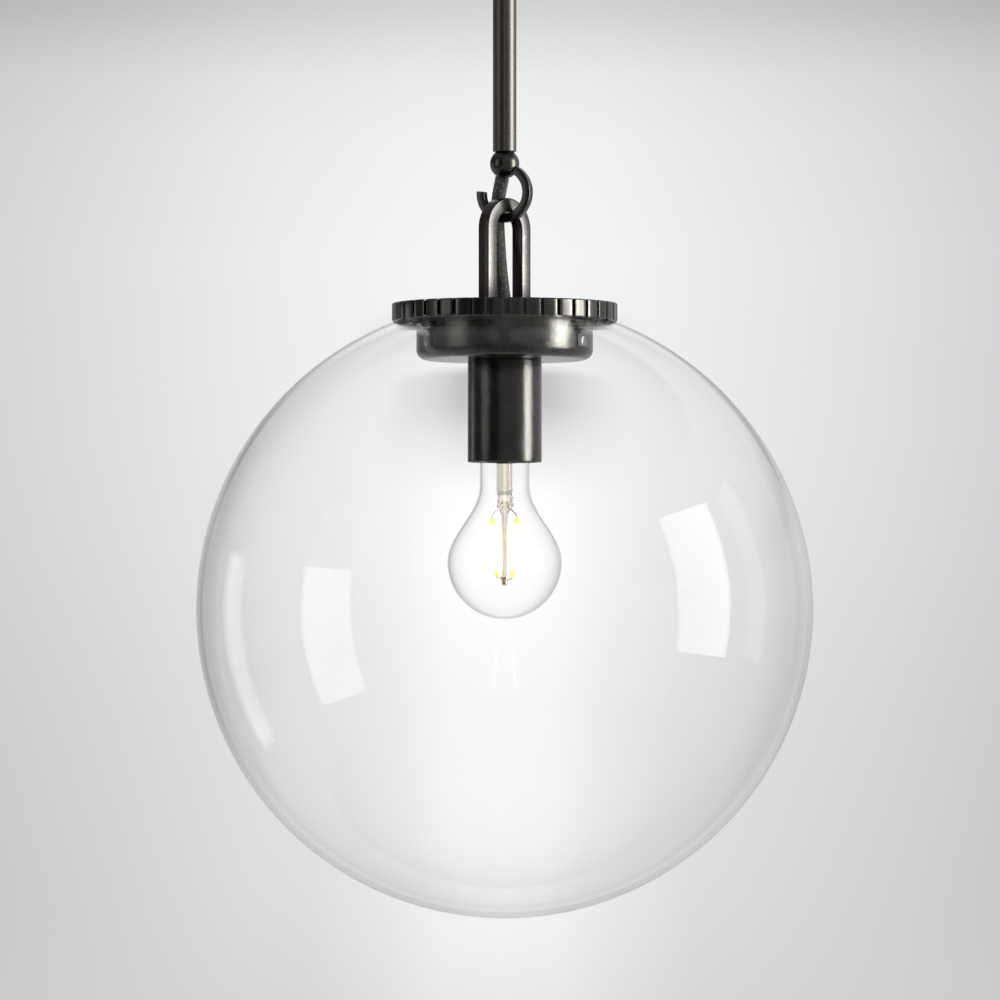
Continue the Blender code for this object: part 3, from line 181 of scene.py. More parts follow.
def drill(piece, radius, start, end, sides=32):
    """Drill a round hole from one point to another."""
    start, end = Vector(start), Vector(end)
    along = end - start
    bit = new_primitive("bit", bpy.ops.mesh.primitive_cylinder_add, vertices=sides, radius=radius,
                        depth=along.length, location=(start + end) / 2.0,
                        rotation=along.to_track_quat("Z", "Y").to_euler())
    return carve(piece, close_up(bit))


def copy_turned(piece, name, degrees):
    """A copy with its own mesh, turned about the lamp's axis."""
    only(piece)
    bpy.ops.object.duplicate(linked=False)
    twin = bpy.context.object
    twin.name = name
    twin.rotation_euler = (0.0, 0.0, math.radians(degrees))
    bpy.ops.object.transform_apply(location=True, rotation=True, scale=True)
    return twin


def size_of(node):
    """A round node's radius, lowest height and highest height."""
    low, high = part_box(node)
    return (high[0] - low[0]) / 2.0, low[2], high[2]


def deliver(piece, material, body, slot, *nodes, smooth=35.0):
    """Smooth and paint a finished piece, hang it on its body, and hide the frame's parts it stands
    for; the slot is not used.
    """
    only(piece)
    bpy.ops.object.shade_smooth_by_angle(angle=math.radians(smooth))
    piece.data.materials.clear()
    piece.data.materials.append(material)
    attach(piece, body)
    if nodes:
        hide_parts(*nodes)
    print(f"{piece.name}: {len(piece.data.polygons)} faces")
    return piece


# %% [markdown]
# ## Shader groups
# An effect that several finishes share is one node group, placed in each material with its own
# values. A group gives out a mask or a height, and the shader itself stays in the material.

# %% Helpers for nodes
def add(tree, kind, inputs=None, **settings):
    """Add a node, with its settings and its plain or wired inputs."""
    node = tree.nodes.new(kind)
    for setting, value in settings.items():
        setattr(node, setting, value)
    for name, value in (inputs or {}).items():
        if isinstance(value, bpy.types.NodeSocket):
            tree.links.new(value, node.inputs[name])
        else:
            node.inputs[name].default_value = value
    return node


def calc(tree, operation, first, second=0.0, clamp=False):
    """One step of arithmetic on values."""
    node = add(tree, "ShaderNodeMath", {0: first, 1: second}, operation=operation, use_clamp=clamp)
    return node.outputs[0]


def ramp(tree, value, *stops, smooth=False):
    """A colour ramp through (position, grey or colour) stops."""
    node = add(tree, "ShaderNodeValToRGB", {0: value})
    elements = node.color_ramp.elements
    while len(elements) < len(stops):
        elements.new(0.5)
    for element, (position, tone) in zip(elements, stops):
        element.position = position
        element.color = (tone, tone, tone, 1.0) if isinstance(tone, float) else (*tone, 1.0)
    if smooth:
        node.color_ramp.interpolation = "EASE"
    return node.outputs[0]


def blend_colours(tree, mask, first, second):
    """Mix two colours by a mask."""
    node = tree.nodes.new("ShaderNodeMix")
    node.data_type = "RGBA"
    for socket, value in ((node.inputs[0], mask), (node.inputs[6], first), (node.inputs[7], second)):
        if isinstance(value, bpy.types.NodeSocket):
            tree.links.new(value, socket)
        else:
            socket.default_value = value if isinstance(value, float) else (*value, 1.0)
    return node.outputs[2]


def new_group(name, inputs, outputs):
    """An empty shader group with named sockets."""
    group = bpy.data.node_groups.new(name, "ShaderNodeTree")
    for label, kind, value in inputs:
        socket = group.interface.new_socket(label, in_out="INPUT", socket_type="NodeSocket" + kind)
        if value is not None:
            socket.default_value = value
    for label, kind in outputs:
        group.interface.new_socket(label, in_out="OUTPUT", socket_type="NodeSocket" + kind)
    return group, group.nodes.new("NodeGroupInput"), group.nodes.new("NodeGroupOutput")


def use(tree, group, **inputs):
    """Place a group in a material; underscores in the names of inputs stand for spaces."""
    node = tree.nodes.new("ShaderNodeGroup")
    node.node_tree = group
    for name, value in inputs.items():
        socket = node.inputs[name.replace("_", " ").capitalize()]
        if isinstance(value, bpy.types.NodeSocket):
            tree.links.new(value, socket)
        else:
            socket.default_value = value
    return node


# %% [markdown]
# ### Grain, clouds, edge wear with painted highlight, and flecks
# A satin metal finish is thousands of fine lines left by an abrasive. On a turned piece they run
# round the axis, so the noise is read at (direction, direction, radius + height): it changes fast
# across the lines and slowly round them, and it has no seam. On a bar the noise is stretched.

# %% Turned grain
turned_grain, g_in, g_out = new_group("turned_grain", [
    ("Position", "Vector", None), ("Lines per metre", "Float", 9000.0), ("Run", "Float", 6.0)],
    [("Grain", "Float")])
xyz = add(turned_grain, "ShaderNodeSeparateXYZ", {0: g_in.outputs["Position"]})
flat = add(turned_grain, "ShaderNodeCombineXYZ", {0: xyz.outputs[0], 1: xyz.outputs[1]})
direction = add(turned_grain, "ShaderNodeVectorMath", {0: flat.outputs[0]}, operation="NORMALIZE")
radius = add(turned_grain, "ShaderNodeVectorMath", {0: flat.outputs[0]}, operation="LENGTH")
along = add(turned_grain, "ShaderNodeVectorMath", {0: direction.outputs[0]}, operation="SCALE")
turned_grain.links.new(g_in.outputs["Run"], along.inputs["Scale"])
along_xyz = add(turned_grain, "ShaderNodeSeparateXYZ", {0: along.outputs[0]})
across = calc(turned_grain, "MULTIPLY",
              calc(turned_grain, "ADD", radius.outputs["Value"], xyz.outputs[2]),
              g_in.outputs["Lines per metre"])
where = add(turned_grain, "ShaderNodeCombineXYZ",
            {0: along_xyz.outputs[0], 1: along_xyz.outputs[1], 2: across})
noise = add(turned_grain, "ShaderNodeTexNoise",
            {"Vector": where.outputs[0], "Scale": 1.0, "Detail": 3.0, "Roughness": 0.6})
turned_grain.links.new(noise.outputs[0], g_out.inputs["Grain"])

# %% Straight grain
straight_grain, g_in, g_out = new_group("straight_grain", [
    ("Position", "Vector", None), ("Stretch", "Vector", (4000.0, 4000.0, 160.0))],
    [("Grain", "Float")])
where = add(straight_grain, "ShaderNodeVectorMath",
            {0: g_in.outputs["Position"], 1: g_in.outputs["Stretch"]}, operation="MULTIPLY")
noise = add(straight_grain, "ShaderNodeTexNoise",
            {"Vector": where.outputs[0], "Scale": 1.0, "Detail": 3.0, "Roughness": 0.6})
straight_grain.links.new(noise.outputs[0], g_out.inputs["Grain"])

# %% Clouds, worn edges with painted highlight, and flecks
clouds, g_in, g_out = new_group("clouds", [
    ("Position", "Vector", None), ("Scale", "Float", 60.0), ("Low", "Float", 0.35),
    ("High", "Float", 0.65)], [("Mask", "Float")])
noise = add(clouds, "ShaderNodeTexNoise",
            {"Vector": g_in.outputs["Position"], "Scale": g_in.outputs["Scale"], "Detail": 5.0,
             "Roughness": 0.6})
spread = add(clouds, "ShaderNodeMapRange",
             {"Value": noise.outputs[0], "From Min": g_in.outputs["Low"],
              "From Max": g_in.outputs["High"]}, interpolation_type="SMOOTHSTEP")
clouds.links.new(spread.outputs[0], g_out.inputs["Mask"])

# Worn edges with painted highlight: the mask rises where the mesh is sharp, so edges come out lighter,
# both as rubbed metal and as edges that catch the light.
edge_wear_and_glint, g_in, g_out = new_group("edge_wear_and_glint", [
    ("Position", "Vector", None), ("Start", "Float", 0.52), ("Width", "Float", 0.06),
    ("Break up", "Float", 0.6)], [("Mask", "Float")])
geometry = add(edge_wear_and_glint, "ShaderNodeNewGeometry")
sharp = calc(edge_wear_and_glint, "DIVIDE",
             calc(edge_wear_and_glint, "SUBTRACT", geometry.outputs["Pointiness"], g_in.outputs["Start"]),
             g_in.outputs["Width"], clamp=True)
patches = add(edge_wear_and_glint, "ShaderNodeTexNoise",
              {"Vector": g_in.outputs["Position"], "Scale": 220.0, "Detail": 4.0})
broken = calc(edge_wear_and_glint, "SUBTRACT", 1.0, calc(
    edge_wear_and_glint, "MULTIPLY", g_in.outputs["Break up"],
    calc(edge_wear_and_glint, "SUBTRACT", 1.4, calc(edge_wear_and_glint, "MULTIPLY", patches.outputs[0], 1.6),
         clamp=True)), clamp=True)
edge_wear_and_glint.links.new(calc(edge_wear_and_glint, "MULTIPLY", sharp, broken), g_out.inputs["Mask"])

flecks, g_in, g_out = new_group("flecks", [
    ("Position", "Vector", None), ("Stretch", "Vector", (900.0, 900.0, 220.0)),
    ("Patch scale", "Float", 28.0)], [("Mask", "Float")])
where = add(flecks, "ShaderNodeVectorMath",
            {0: g_in.outputs["Position"], 1: g_in.outputs["Stretch"]}, operation="MULTIPLY")
fine = add(flecks, "ShaderNodeTexNoise", {"Vector": where.outputs[0], "Scale": 1.0, "Detail": 2.0})
short_marks = add(flecks, "ShaderNodeMapRange", {"Value": fine.outputs[0], "From Min": 0.64,
                                                 "From Max": 0.70})
patch = add(flecks, "ShaderNodeTexNoise",
            {"Vector": g_in.outputs["Position"], "Scale": g_in.outputs["Patch scale"],
             "Detail": 1.0})
patchy = add(flecks, "ShaderNodeMapRange", {"Value": patch.outputs[0], "From Min": 0.54,
                                            "From Max": 0.62})
flecks.links.new(calc(flecks, "MULTIPLY", short_marks.outputs[0], patchy.outputs[0]),
                 g_out.inputs["Mask"])
print("shader groups:", [group.name for group in bpy.data.node_groups])


# %% [markdown]
# ## Blackened bronze
# The lamp's metal is bronze or steel with a dark chemical finish, rubbed back until it is satin.
# The rubbing leaves fine grain, the dark coat is thin and uneven, and corners show the lighter metal.
# Those lighter edges are also a painted highlight: sharp edges are lightened as if they caught the
# light. All of it is one metal shader: its colour comes from clouds and from the worn,
# painted-highlight edges, and its roughness and bump from the grain.

# %% Satin dark metal
def new_material(name, **plain):
    """A material with one Principled shader; underscores stand for spaces in socket names."""
    material = bpy.data.materials.new(name)
    material.use_nodes = True
    tree = material.node_tree
    shader = tree.nodes["Principled BSDF"]
    for socket, value in plain.items():
        shader.inputs[socket.replace("_", " ")].default_value = value
    place = add(tree, "ShaderNodeTexCoord").outputs["Object"]
    return material, tree, shader, place


def satin_metal(name, dark, light, rough, grain_depth=0.012, wear_and_glint_strength=0.9, stretch=None, marks=0.6,
                lines=9000.0, rough_span=0.10):
    """A satin metal finish with turned or straight grain, uneven colour, scratches, and lighter edges
    from rubbing and from a painted highlight.
    """
    material, tree, shader, place = new_material(name, Metallic=1.0)
    if stretch is None:
        grain = use(tree, turned_grain, position=place, lines_per_metre=lines).outputs[0]
    else:
        grain = use(tree, straight_grain, position=place, stretch=stretch).outputs[0]
    cloud = use(tree, clouds, position=place, scale=70.0).outputs[0]
    wear_and_glint = use(tree, edge_wear_and_glint, position=place).outputs[0]
    scratch = use(tree, flecks, position=place).outputs[0]
    middle = tuple(0.65 * d + 0.35 * li for d, li in zip(dark, light))
    coat = blend_colours(tree, calc(tree, "MULTIPLY", cloud, 0.12), dark, middle)
    streaked = blend_colours(tree, calc(tree, "MULTIPLY", grain, 0.35), coat, middle)
    # Painted highlight and edge wear: sharp edges are blended towards the light colour.
    rubbed_and_lit = blend_colours(tree, calc(tree, "MULTIPLY", wear_and_glint, wear_and_glint_strength), streaked, light)
    marked = blend_colours(tree, calc(tree, "MULTIPLY", scratch, marks), rubbed_and_lit, light)
    tree.links.new(marked, shader.inputs["Base Color"])
    uneven = calc(tree, "ADD", calc(tree, "MULTIPLY", grain, rough_span),
                  calc(tree, "MULTIPLY", cloud, 0.012))
    rougher = calc(tree, "ADD", uneven, rough - rough_span / 2.0, clamp=True)
    tree.links.new(rougher, shader.inputs["Roughness"])
    height = calc(tree, "SUBTRACT", calc(tree, "MULTIPLY", grain, 1.0),
                  calc(tree, "MULTIPLY", scratch, 0.5))
    bump = add(tree, "ShaderNodeBump", {"Height": height, "Strength": 0.35,
                                        "Distance": grain_depth * MM})
    tree.links.new(bump.outputs[0], shader.inputs["Normal"])
    return material


DARK = (0.056, 0.0545, 0.051)
LIGHT = (0.240, 0.230, 0.208)
bronze_turned = satin_metal("blackened_bronze_turned", DARK, LIGHT, 0.25)
bronze_rod = satin_metal("blackened_bronze_rod", (0.085, 0.082, 0.074), LIGHT, 0.36,
                         stretch=(3500.0, 3500.0, 90.0), marks=0.5)
bronze_cast = satin_metal("blackened_bronze_cast", (0.060, 0.058, 0.054), LIGHT, 0.26,
                          stretch=(700.0, 700.0, 700.0), grain_depth=0.004, rough_span=0.06)
zinc = satin_metal("zinc_plated_steel", (0.33, 0.33, 0.325), (0.55, 0.55, 0.54), 0.34,
                   stretch=(900.0, 900.0, 900.0), marks=0.4)
zinc_turned = satin_metal("zinc_plated_turned", (0.36, 0.36, 0.35), (0.58, 0.57, 0.55), 0.28,
                          marks=0.3)
spring = satin_metal("spring_steel", (0.20, 0.20, 0.195), (0.42, 0.42, 0.41), 0.24,
                     stretch=(2500.0, 2500.0, 150.0), marks=0.3)
brass = satin_metal("brass", (0.48, 0.31, 0.11), (0.72, 0.53, 0.25), 0.30, marks=0.3)
nickel = satin_metal("nickel_plated_brass", (0.46, 0.44, 0.40), (0.66, 0.64, 0.60), 0.22, marks=0.2)
# The lead wires and the hub are plated steel; their warm colour is painted light, standing for the
# strips' glow on them.
glow_warmed_wire = satin_metal("glow_warmed_wire", (0.86, 0.70, 0.46), (0.95, 0.84, 0.62), 0.35, marks=0.2,
                        stretch=(900.0, 900.0, 900.0))
print("metals made")

# %% [markdown]
# ## Glass, glaze, rubber and plastic
# Clear glass is a Principled shader with full transmission. Real blown glass is never perfectly
# even: the surface has long soft waves from the blowing, so a very low bump bends the reflections
# a little. The index is set well below the 1.5 of real glass, and the globe's reflections are dimmed
# as well, which keeps the walls thin and quiet to look at. That is a choice of look, not of physics.
# Porcelain is white with a clear coat, and soft parts are rough.

# %% Glass
def clear_glass(name, wave_scale, wave_depth, ior, sheen, tint=(1.0, 1.0, 1.0)):
    """Blown glass with soft waves in its surface."""
    material, tree, shader, place = new_material(
        name, Transmission_Weight=1.0, Roughness=0.0, IOR=ior, Base_Color=(*tint, 1.0),
        Specular_Tint=(sheen, sheen, sheen, 1.0))
    waves = add(tree, "ShaderNodeTexNoise", {"Vector": place, "Scale": wave_scale, "Detail": 1.0})
    bump = add(tree, "ShaderNodeBump", {"Height": waves.outputs[0], "Strength": 0.12,
                                        "Distance": wave_depth * MM})
    tree.links.new(bump.outputs[0], shader.inputs["Normal"])
    return material


globe_glass = clear_glass("clear_glass", 9.0, 0.25, 1.20, 0.55)
lamp_glass = clear_glass("lamp_glass", 40.0, 0.2, 1.08, 1.0)
# The stem glass's warm tint is painted light: it stands for the strips' warm glow seen through the
# stem.
stem_glass = clear_glass("lamp_stem_glass", 220.0, 0.4, 1.34, 1.0, (1.0, 0.93, 0.80))


# %% Plain soft and glazed finishes
def dull(name, colour, second, rough, coat=0.0, grain_scale=800.0, depth=0.02, sheen=0.0, ior=1.45):
    """A plastic, rubber or glazed finish with uneven colour and a fine surface."""
    material, tree, shader, place = new_material(name, Coat_Weight=coat, Coat_Roughness=0.08,
                                                 Sheen_Weight=sheen, IOR=ior)
    cloud = use(tree, clouds, position=place, scale=180.0, low=0.3, high=0.7).outputs[0]
    tree.links.new(blend_colours(tree, cloud, colour, second), shader.inputs["Base Color"])
    fine = add(tree, "ShaderNodeTexNoise", {"Vector": place, "Scale": grain_scale, "Detail": 3.0})
    tree.links.new(calc(tree, "ADD", calc(tree, "MULTIPLY", fine.outputs[0], 0.14), rough - 0.07,
                        clamp=True), shader.inputs["Roughness"])
    bump = add(tree, "ShaderNodeBump", {"Height": fine.outputs[0], "Strength": 0.4,
                                        "Distance": depth * MM})
    tree.links.new(bump.outputs[0], shader.inputs["Normal"])
    return material


porcelain = dull("glazed_porcelain", (0.80, 0.78, 0.73), (0.74, 0.72, 0.67), 0.28, coat=0.8,
                 grain_scale=300.0, depth=0.03)
silicone = dull("silicone", (0.50, 0.51, 0.50), (0.42, 0.43, 0.42), 0.55, depth=0.01)
black_lead = dull("lead_black", (0.016, 0.016, 0.017), (0.028, 0.028, 0.030), 0.45)
white_lead = dull("lead_white", (0.72, 0.71, 0.68), (0.62, 0.61, 0.58), 0.45)
green_lead = dull("lead_green", (0.020, 0.19, 0.055), (0.030, 0.26, 0.08), 0.45)
connector_plastic = dull("connector_plastic", (0.70, 0.22, 0.025), (0.60, 0.17, 0.02), 0.42)
black_insulator = dull("black_insulator", (0.010, 0.010, 0.012), (0.022, 0.022, 0.026), 0.22)
board_green = dull("circuit_board", (0.025, 0.15, 0.05), (0.035, 0.20, 0.07), 0.40, coat=0.4)
green_screw = satin_metal("green_screw", (0.03, 0.22, 0.07), (0.12, 0.42, 0.18), 0.35, marks=0.3)
print("materials:", len(bpy.data.materials))

# %% [markdown]
# ## The free cord
# The cord is a round mains cord in a braided cloth sheath, 8 mm thick. It leaves the ball's
# underside, passes behind the hook and the loop's crown, and goes into the tube in the disc. Both
# its ends are held, so its length is the length of the route. It is a tube round that route: the
# strands of the braid stand up from its surface, and its own UV map carries their colours.

# %% Route of the cord
CORD_RADIUS = 4.0 * MM
CORD_POINTS = (
    (0.0, 0.0, -190.495), (-0.021, 0.043, -192.995), (-0.193, 0.460, -195.995),
    (-0.610, 1.477, -199.995), (-1.252, 3.050, -203.995), (-2.054, 4.997, -207.995),
    (-2.846, 6.934, -211.995), (-3.520, 8.560, -215.995), (-3.948, 9.619, -219.995),
    (-4.184, 10.176, -224.995), (-4.141, 10.079, -229.995), (-3.895, 9.095, -235.995),
    (-3.499, 7.404, -242.995), (-3.050, 5.404, -249.995), (-2.504, 3.403, -256.995),
    (-1.798, 1.701, -263.995), (-1.049, 0.599, -269.995), (-0.396, 0.118, -274.995),
    (-0.096, 0.0, -278.995), (0.0, 0.0, -283.995), (0.0, 0.0, -299.995), (0.0, 0.0, -318.992))


def smooth_route(points, spacing):
    """Evenly spaced points on a smooth curve through the given points."""
    knots = [Vector(point) for point in points]
    knots = [knots[0] * 2.0 - knots[1]] + knots + [knots[-1] * 2.0 - knots[-2]]
    fine = []
    for index in range(1, len(knots) - 2):
        before, start, end, after = knots[index - 1:index + 3]
        for step in range(24):
            t = step / 24.0
            fine.append(start * (2 * t ** 3 - 3 * t ** 2 + 1) + end * (3 * t ** 2 - 2 * t ** 3)
                        + (end - before) * 0.5 * (t ** 3 - 2 * t ** 2 + t)
                        + (after - start) * 0.5 * (t ** 3 - t ** 2))
    fine.append(knots[-2])
    total = sum((b - a).length for a, b in zip(fine, fine[1:]))
    count = max(2, round(total / spacing))
    even, run, index = [fine[0]], 0.0, 0
    for number in range(1, count):
        target = total * number / count
        while run + (fine[index + 1] - fine[index]).length < target:
            run += (fine[index + 1] - fine[index]).length
            index += 1
        step = fine[index + 1] - fine[index]
        even.append(fine[index] + step * ((target - run) / step.length))
    return even + [fine[-1]]


cord_route = smooth_route([Vector(point) * MM for point in CORD_POINTS], 0.35 * MM)

# %% Braided tube along a route
STRANDS = 16
BRAID_PITCH = 11.0 * MM
BRAID_RELIEF = 0.13 * MM


def tube(name, route, radius, sides, relief=None):
    """A closed tube round a route, with a UV map of (turn, length along it)."""
    piece = new_primitive(name, bpy.ops.mesh.primitive_circle_add, vertices=sides, radius=radius,
                          fill_type="NGON", location=(0.0, 0.0, 0.0))
    edit(piece)
    for _ in route[1:]:
        bpy.ops.mesh.extrude_region_move(TRANSFORM_OT_translate={"value": (0.0, 0.0, MM)})
    only(piece)
    rings = {}
    for vertex in piece.data.vertices:
        rings.setdefault(round(vertex.co.z / MM), []).append(vertex)
    side = Vector((1.0, 0.0, 0.0))
    run = 0.0
    uv_of = {}
    for number, point in enumerate(route):
        ahead = route[min(number + 1, len(route) - 1)]
        behind = route[max(number - 1, 0)]
        heading = (ahead - behind).normalized()
        side = (side - heading * side.dot(heading)).normalized()
        other = heading.cross(side)
        for vertex in rings[number]:
            angle = math.atan2(vertex.co.y, vertex.co.x)
            reach = radius + (relief(angle, run) if relief else 0.0)
            uv_of[vertex.index] = (angle / TURN, run)
            vertex.co = point + (side * math.cos(angle) + other * math.sin(angle)) * reach
        run += (ahead - point).length
    uv_map = piece.data.uv_layers.new(name="run")
    for polygon in piece.data.polygons:
        turns = [uv_of[piece.data.loops[loop].vertex_index][0] for loop in polygon.loop_indices]
        for loop, turn in zip(polygon.loop_indices, turns):
            past_seam = max(turns) - min(turns) > 0.5 and turn < 0.0
            uv_map.data[loop].uv = (turn + past_seam, uv_of[piece.data.loops[loop].vertex_index][1])
    edit(piece)
    bpy.ops.mesh.normals_make_consistent(inside=False)
    only(piece)
    return piece


def braid_relief(angle, run):
    """The height of the braid's crossing strands at a place on the sheath."""
    turn = angle / TURN * STRANDS
    rise = run / BRAID_PITCH * STRANDS
    left, right = math.sin(math.pi * (turn + rise)), math.sin(math.pi * (turn - rise))
    return BRAID_RELIEF * (left * left * right * right - 0.5)


# %% Braided cloth
braid_weave, g_in, g_out = new_group("braid_weave", [
    ("Run", "Vector", None), ("Strands", "Float", 16.0), ("Pitch", "Float", 0.011)],
    [("Thread", "Float"), ("Over", "Float"), ("Height", "Float")])
uv = add(braid_weave, "ShaderNodeSeparateXYZ", {0: g_in.outputs["Run"]})
turn = calc(braid_weave, "MULTIPLY", uv.outputs[0], g_in.outputs["Strands"])
rise = calc(braid_weave, "DIVIDE", calc(braid_weave, "MULTIPLY", uv.outputs[1],
                                        g_in.outputs["Strands"]), g_in.outputs["Pitch"])
left = calc(braid_weave, "ADD", turn, rise)
right = calc(braid_weave, "SUBTRACT", turn, rise)
cell = calc(braid_weave, "MODULO", calc(braid_weave, "ADD", calc(braid_weave, "FLOOR", left),
                                        calc(braid_weave, "ADD", calc(braid_weave, "FLOOR", right),
                                             1000.0)), 2.0)
over = calc(braid_weave, "GREATER_THAN", cell, 0.5)
across_strand = add(braid_weave, "ShaderNodeMix", {0: over, 2: left, 3: right}).outputs[0]
threads = calc(braid_weave, "ABSOLUTE", calc(braid_weave, "SINE", calc(
    braid_weave, "MULTIPLY", across_strand, math.pi * 4.0)))
braid_weave.links.new(threads, g_out.inputs["Thread"])
braid_weave.links.new(over, g_out.inputs["Over"])
hump = calc(braid_weave, "MULTIPLY",
            calc(braid_weave, "ABSOLUTE", calc(braid_weave, "SINE", calc(
                braid_weave, "MULTIPLY", left, math.pi))),
            calc(braid_weave, "ABSOLUTE", calc(braid_weave, "SINE", calc(
                braid_weave, "MULTIPLY", right, math.pi))))
braid_weave.links.new(calc(braid_weave, "ADD", calc(braid_weave, "MULTIPLY", threads, 0.35), hump),
                      g_out.inputs["Height"])

braided_cloth, tree, shader, place = new_material("braided_cloth", Sheen_Weight=0.25,
                                                  Sheen_Roughness=0.5)
run_map = add(tree, "ShaderNodeUVMap", uv_map="run")
weave = use(tree, braid_weave, run=run_map.outputs[0], strands=float(STRANDS), pitch=BRAID_PITCH)
fluff = add(tree, "ShaderNodeTexNoise", {"Vector": place, "Scale": 2600.0, "Detail": 3.0})
light_threads = calc(tree, "GREATER_THAN", add(tree, "ShaderNodeTexNoise", {
    "Vector": place, "Scale": 900.0, "Detail": 2.0}).outputs[0], 0.60)
# Painted shade: the colour is darkest in the gaps between the threads and lighter on each thread's
# middle, as shade falls in the gaps.
gap_shaded_threads = blend_colours(tree, weave.outputs["Thread"], (0.006, 0.0055, 0.005),
                            (0.030, 0.026, 0.022))
crossed = blend_colours(tree, calc(tree, "MULTIPLY", weave.outputs["Over"], 0.45), gap_shaded_threads,
                        (0.042, 0.037, 0.032))
speckled = blend_colours(tree, calc(tree, "MULTIPLY", light_threads, 0.6), crossed,
                         (0.20, 0.19, 0.17))
tree.links.new(speckled, shader.inputs["Base Color"])
tree.links.new(calc(tree, "ADD", calc(tree, "MULTIPLY", fluff.outputs[0], 0.2), 0.7),
               shader.inputs["Roughness"])
bump = add(tree, "ShaderNodeBump", {
    "Height": calc(tree, "ADD", weave.outputs["Height"],
                   calc(tree, "MULTIPLY", fluff.outputs[0], 0.4)),
    "Strength": 0.7, "Distance": 0.15 * MM})
tree.links.new(bump.outputs[0], shader.inputs["Normal"])

cord = tube("cord", cord_route, CORD_RADIUS, 64, braid_relief)
only(cord)
bpy.ops.object.shade_smooth_by_angle(angle=math.radians(70.0))
cord.data.materials.append(braided_cloth)
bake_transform(cord)
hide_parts("cord_free")
print("cord faces:", len(cord.data.polygons))

# %% The cord inside the stem
low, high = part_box("cord_in_stem")
inner_route = smooth_route([(0.0, 0.0, low[2]), (0.0, 0.0, (low[2] + high[2]) / 2.0),
                            (0.0, 0.0, high[2])], 1.0 * MM)
inner_cord = tube("cord_inside_stem", inner_route, CORD_RADIUS - 0.05 * MM, 32)
deliver(inner_cord, braided_cloth, "stem", "braided_cord", "cord_in_stem")

# %% [markdown]
# ## Stem, ball and hook
# The stem is a straight tube, and a casting screws into its foot: a ball with an open hook under
# it. The hook is a square bar bent to most of a ring. A plane the size of the bar has its corners
# bevelled, and is then spun round the ring's centre, so the bar keeps one section all the way.

# %% Stem
STEM_RADIUS, STEM_LOW, STEM_HIGH = size_of("stem_tube")
STEM_BORE = 5.3 * MM
edge = 0.4 * MM
stem = turned("stem", [(STEM_BORE, STEM_LOW), (STEM_RADIUS - edge, STEM_LOW),
                       *bend(STEM_RADIUS - edge, STEM_LOW + edge, edge, -90, 0, 3)[1:],
                       *bend(STEM_RADIUS - edge, STEM_HIGH - edge, edge, 0, 90, 3),
                       (STEM_BORE, STEM_HIGH)], 96)
deliver(stem, bronze_rod, "stem", "blackened_bronze", "stem_tube")


# %% A bar spun round a centre
def bar_section(name, side, rounding, place, turn):
    """A plane as wide as a bar, with its corners rounded, ready to be extruded upwards."""
    piece = new_primitive(name, bpy.ops.mesh.primitive_plane_add, size=side)
    edit(piece)
    bpy.ops.mesh.bevel(offset=rounding, offset_type="OFFSET", segments=4, affect="VERTICES")
    only(piece)
    piece.matrix_world = Matrix.Translation(place) @ turn
    bpy.ops.object.transform_apply(location=True, rotation=True, scale=True)
    edit(piece)
    return piece


# %% Ball and hook
BALL_RADIUS = 8.5 * MM
BALL_Z = -0.197095
HOOK_CENTRE = Vector((0.0, 0.0, -0.213995))
HOOK_RADIUS = 14.7 * MM
HOOK_BAR = 5.0 * MM
HOOK_TURN = math.radians(-26.0)
HOOK_START, HOOK_END = math.radians(68.0), math.radians(-185.0)
SPIGOT_RADIUS = 5.0 * MM
_, _, SPIGOT_TOP = size_of("hook_end")

shoulder = math.degrees(math.acos(SPIGOT_RADIUS / BALL_RADIUS))
ball = turned("ball_and_hook", [(0.0, SPIGOT_TOP), (SPIGOT_RADIUS, SPIGOT_TOP),
                                *bend(0.0, BALL_Z, BALL_RADIUS, shoulder, -90.0, 24)[:-1],
                                (0.0, BALL_Z - BALL_RADIUS)], 72, closed=False)
sideways = Vector((math.cos(HOOK_TURN), math.sin(HOOK_TURN), 0.0))
normal = Vector((-math.sin(HOOK_TURN), math.cos(HOOK_TURN), 0.0))
outward = sideways * math.cos(HOOK_START) + UP * math.sin(HOOK_START)
section_turn = Matrix((outward, normal, outward.cross(normal))).transposed().to_4x4()
hook = bar_section("hook", HOOK_BAR, 0.7 * MM, HOOK_CENTRE + outward * HOOK_RADIUS, section_turn)
bpy.ops.mesh.spin(steps=72, angle=HOOK_END - HOOK_START, center=HOOK_CENTRE, axis=normal)
close_up(hook)
break_edges(hook, 0.35 * MM, 2, 60.0)
carve(ball, hook, "UNION")
passage_route = [point for point in cord_route if point.z > BALL_Z - BALL_RADIUS - 4.0 * MM]
passage_route = [Vector((0.0, 0.0, SPIGOT_TOP + MM))] + passage_route[::3]
carve(ball, tube("passage", passage_route, CORD_RADIUS + 0.4 * MM, 32))
deliver(ball, bronze_cast, "stem", "blackened_bronze", "hook_end")

# %% [markdown]
# ## Loop, washers and nuts
# The loop is a U of square bar. Its section starts at one foot, is extruded up the leg, spun over
# the crown and extruded down again, so both legs come out the same. A threaded stud under each
# foot goes through the disc and takes a washer and a nut.


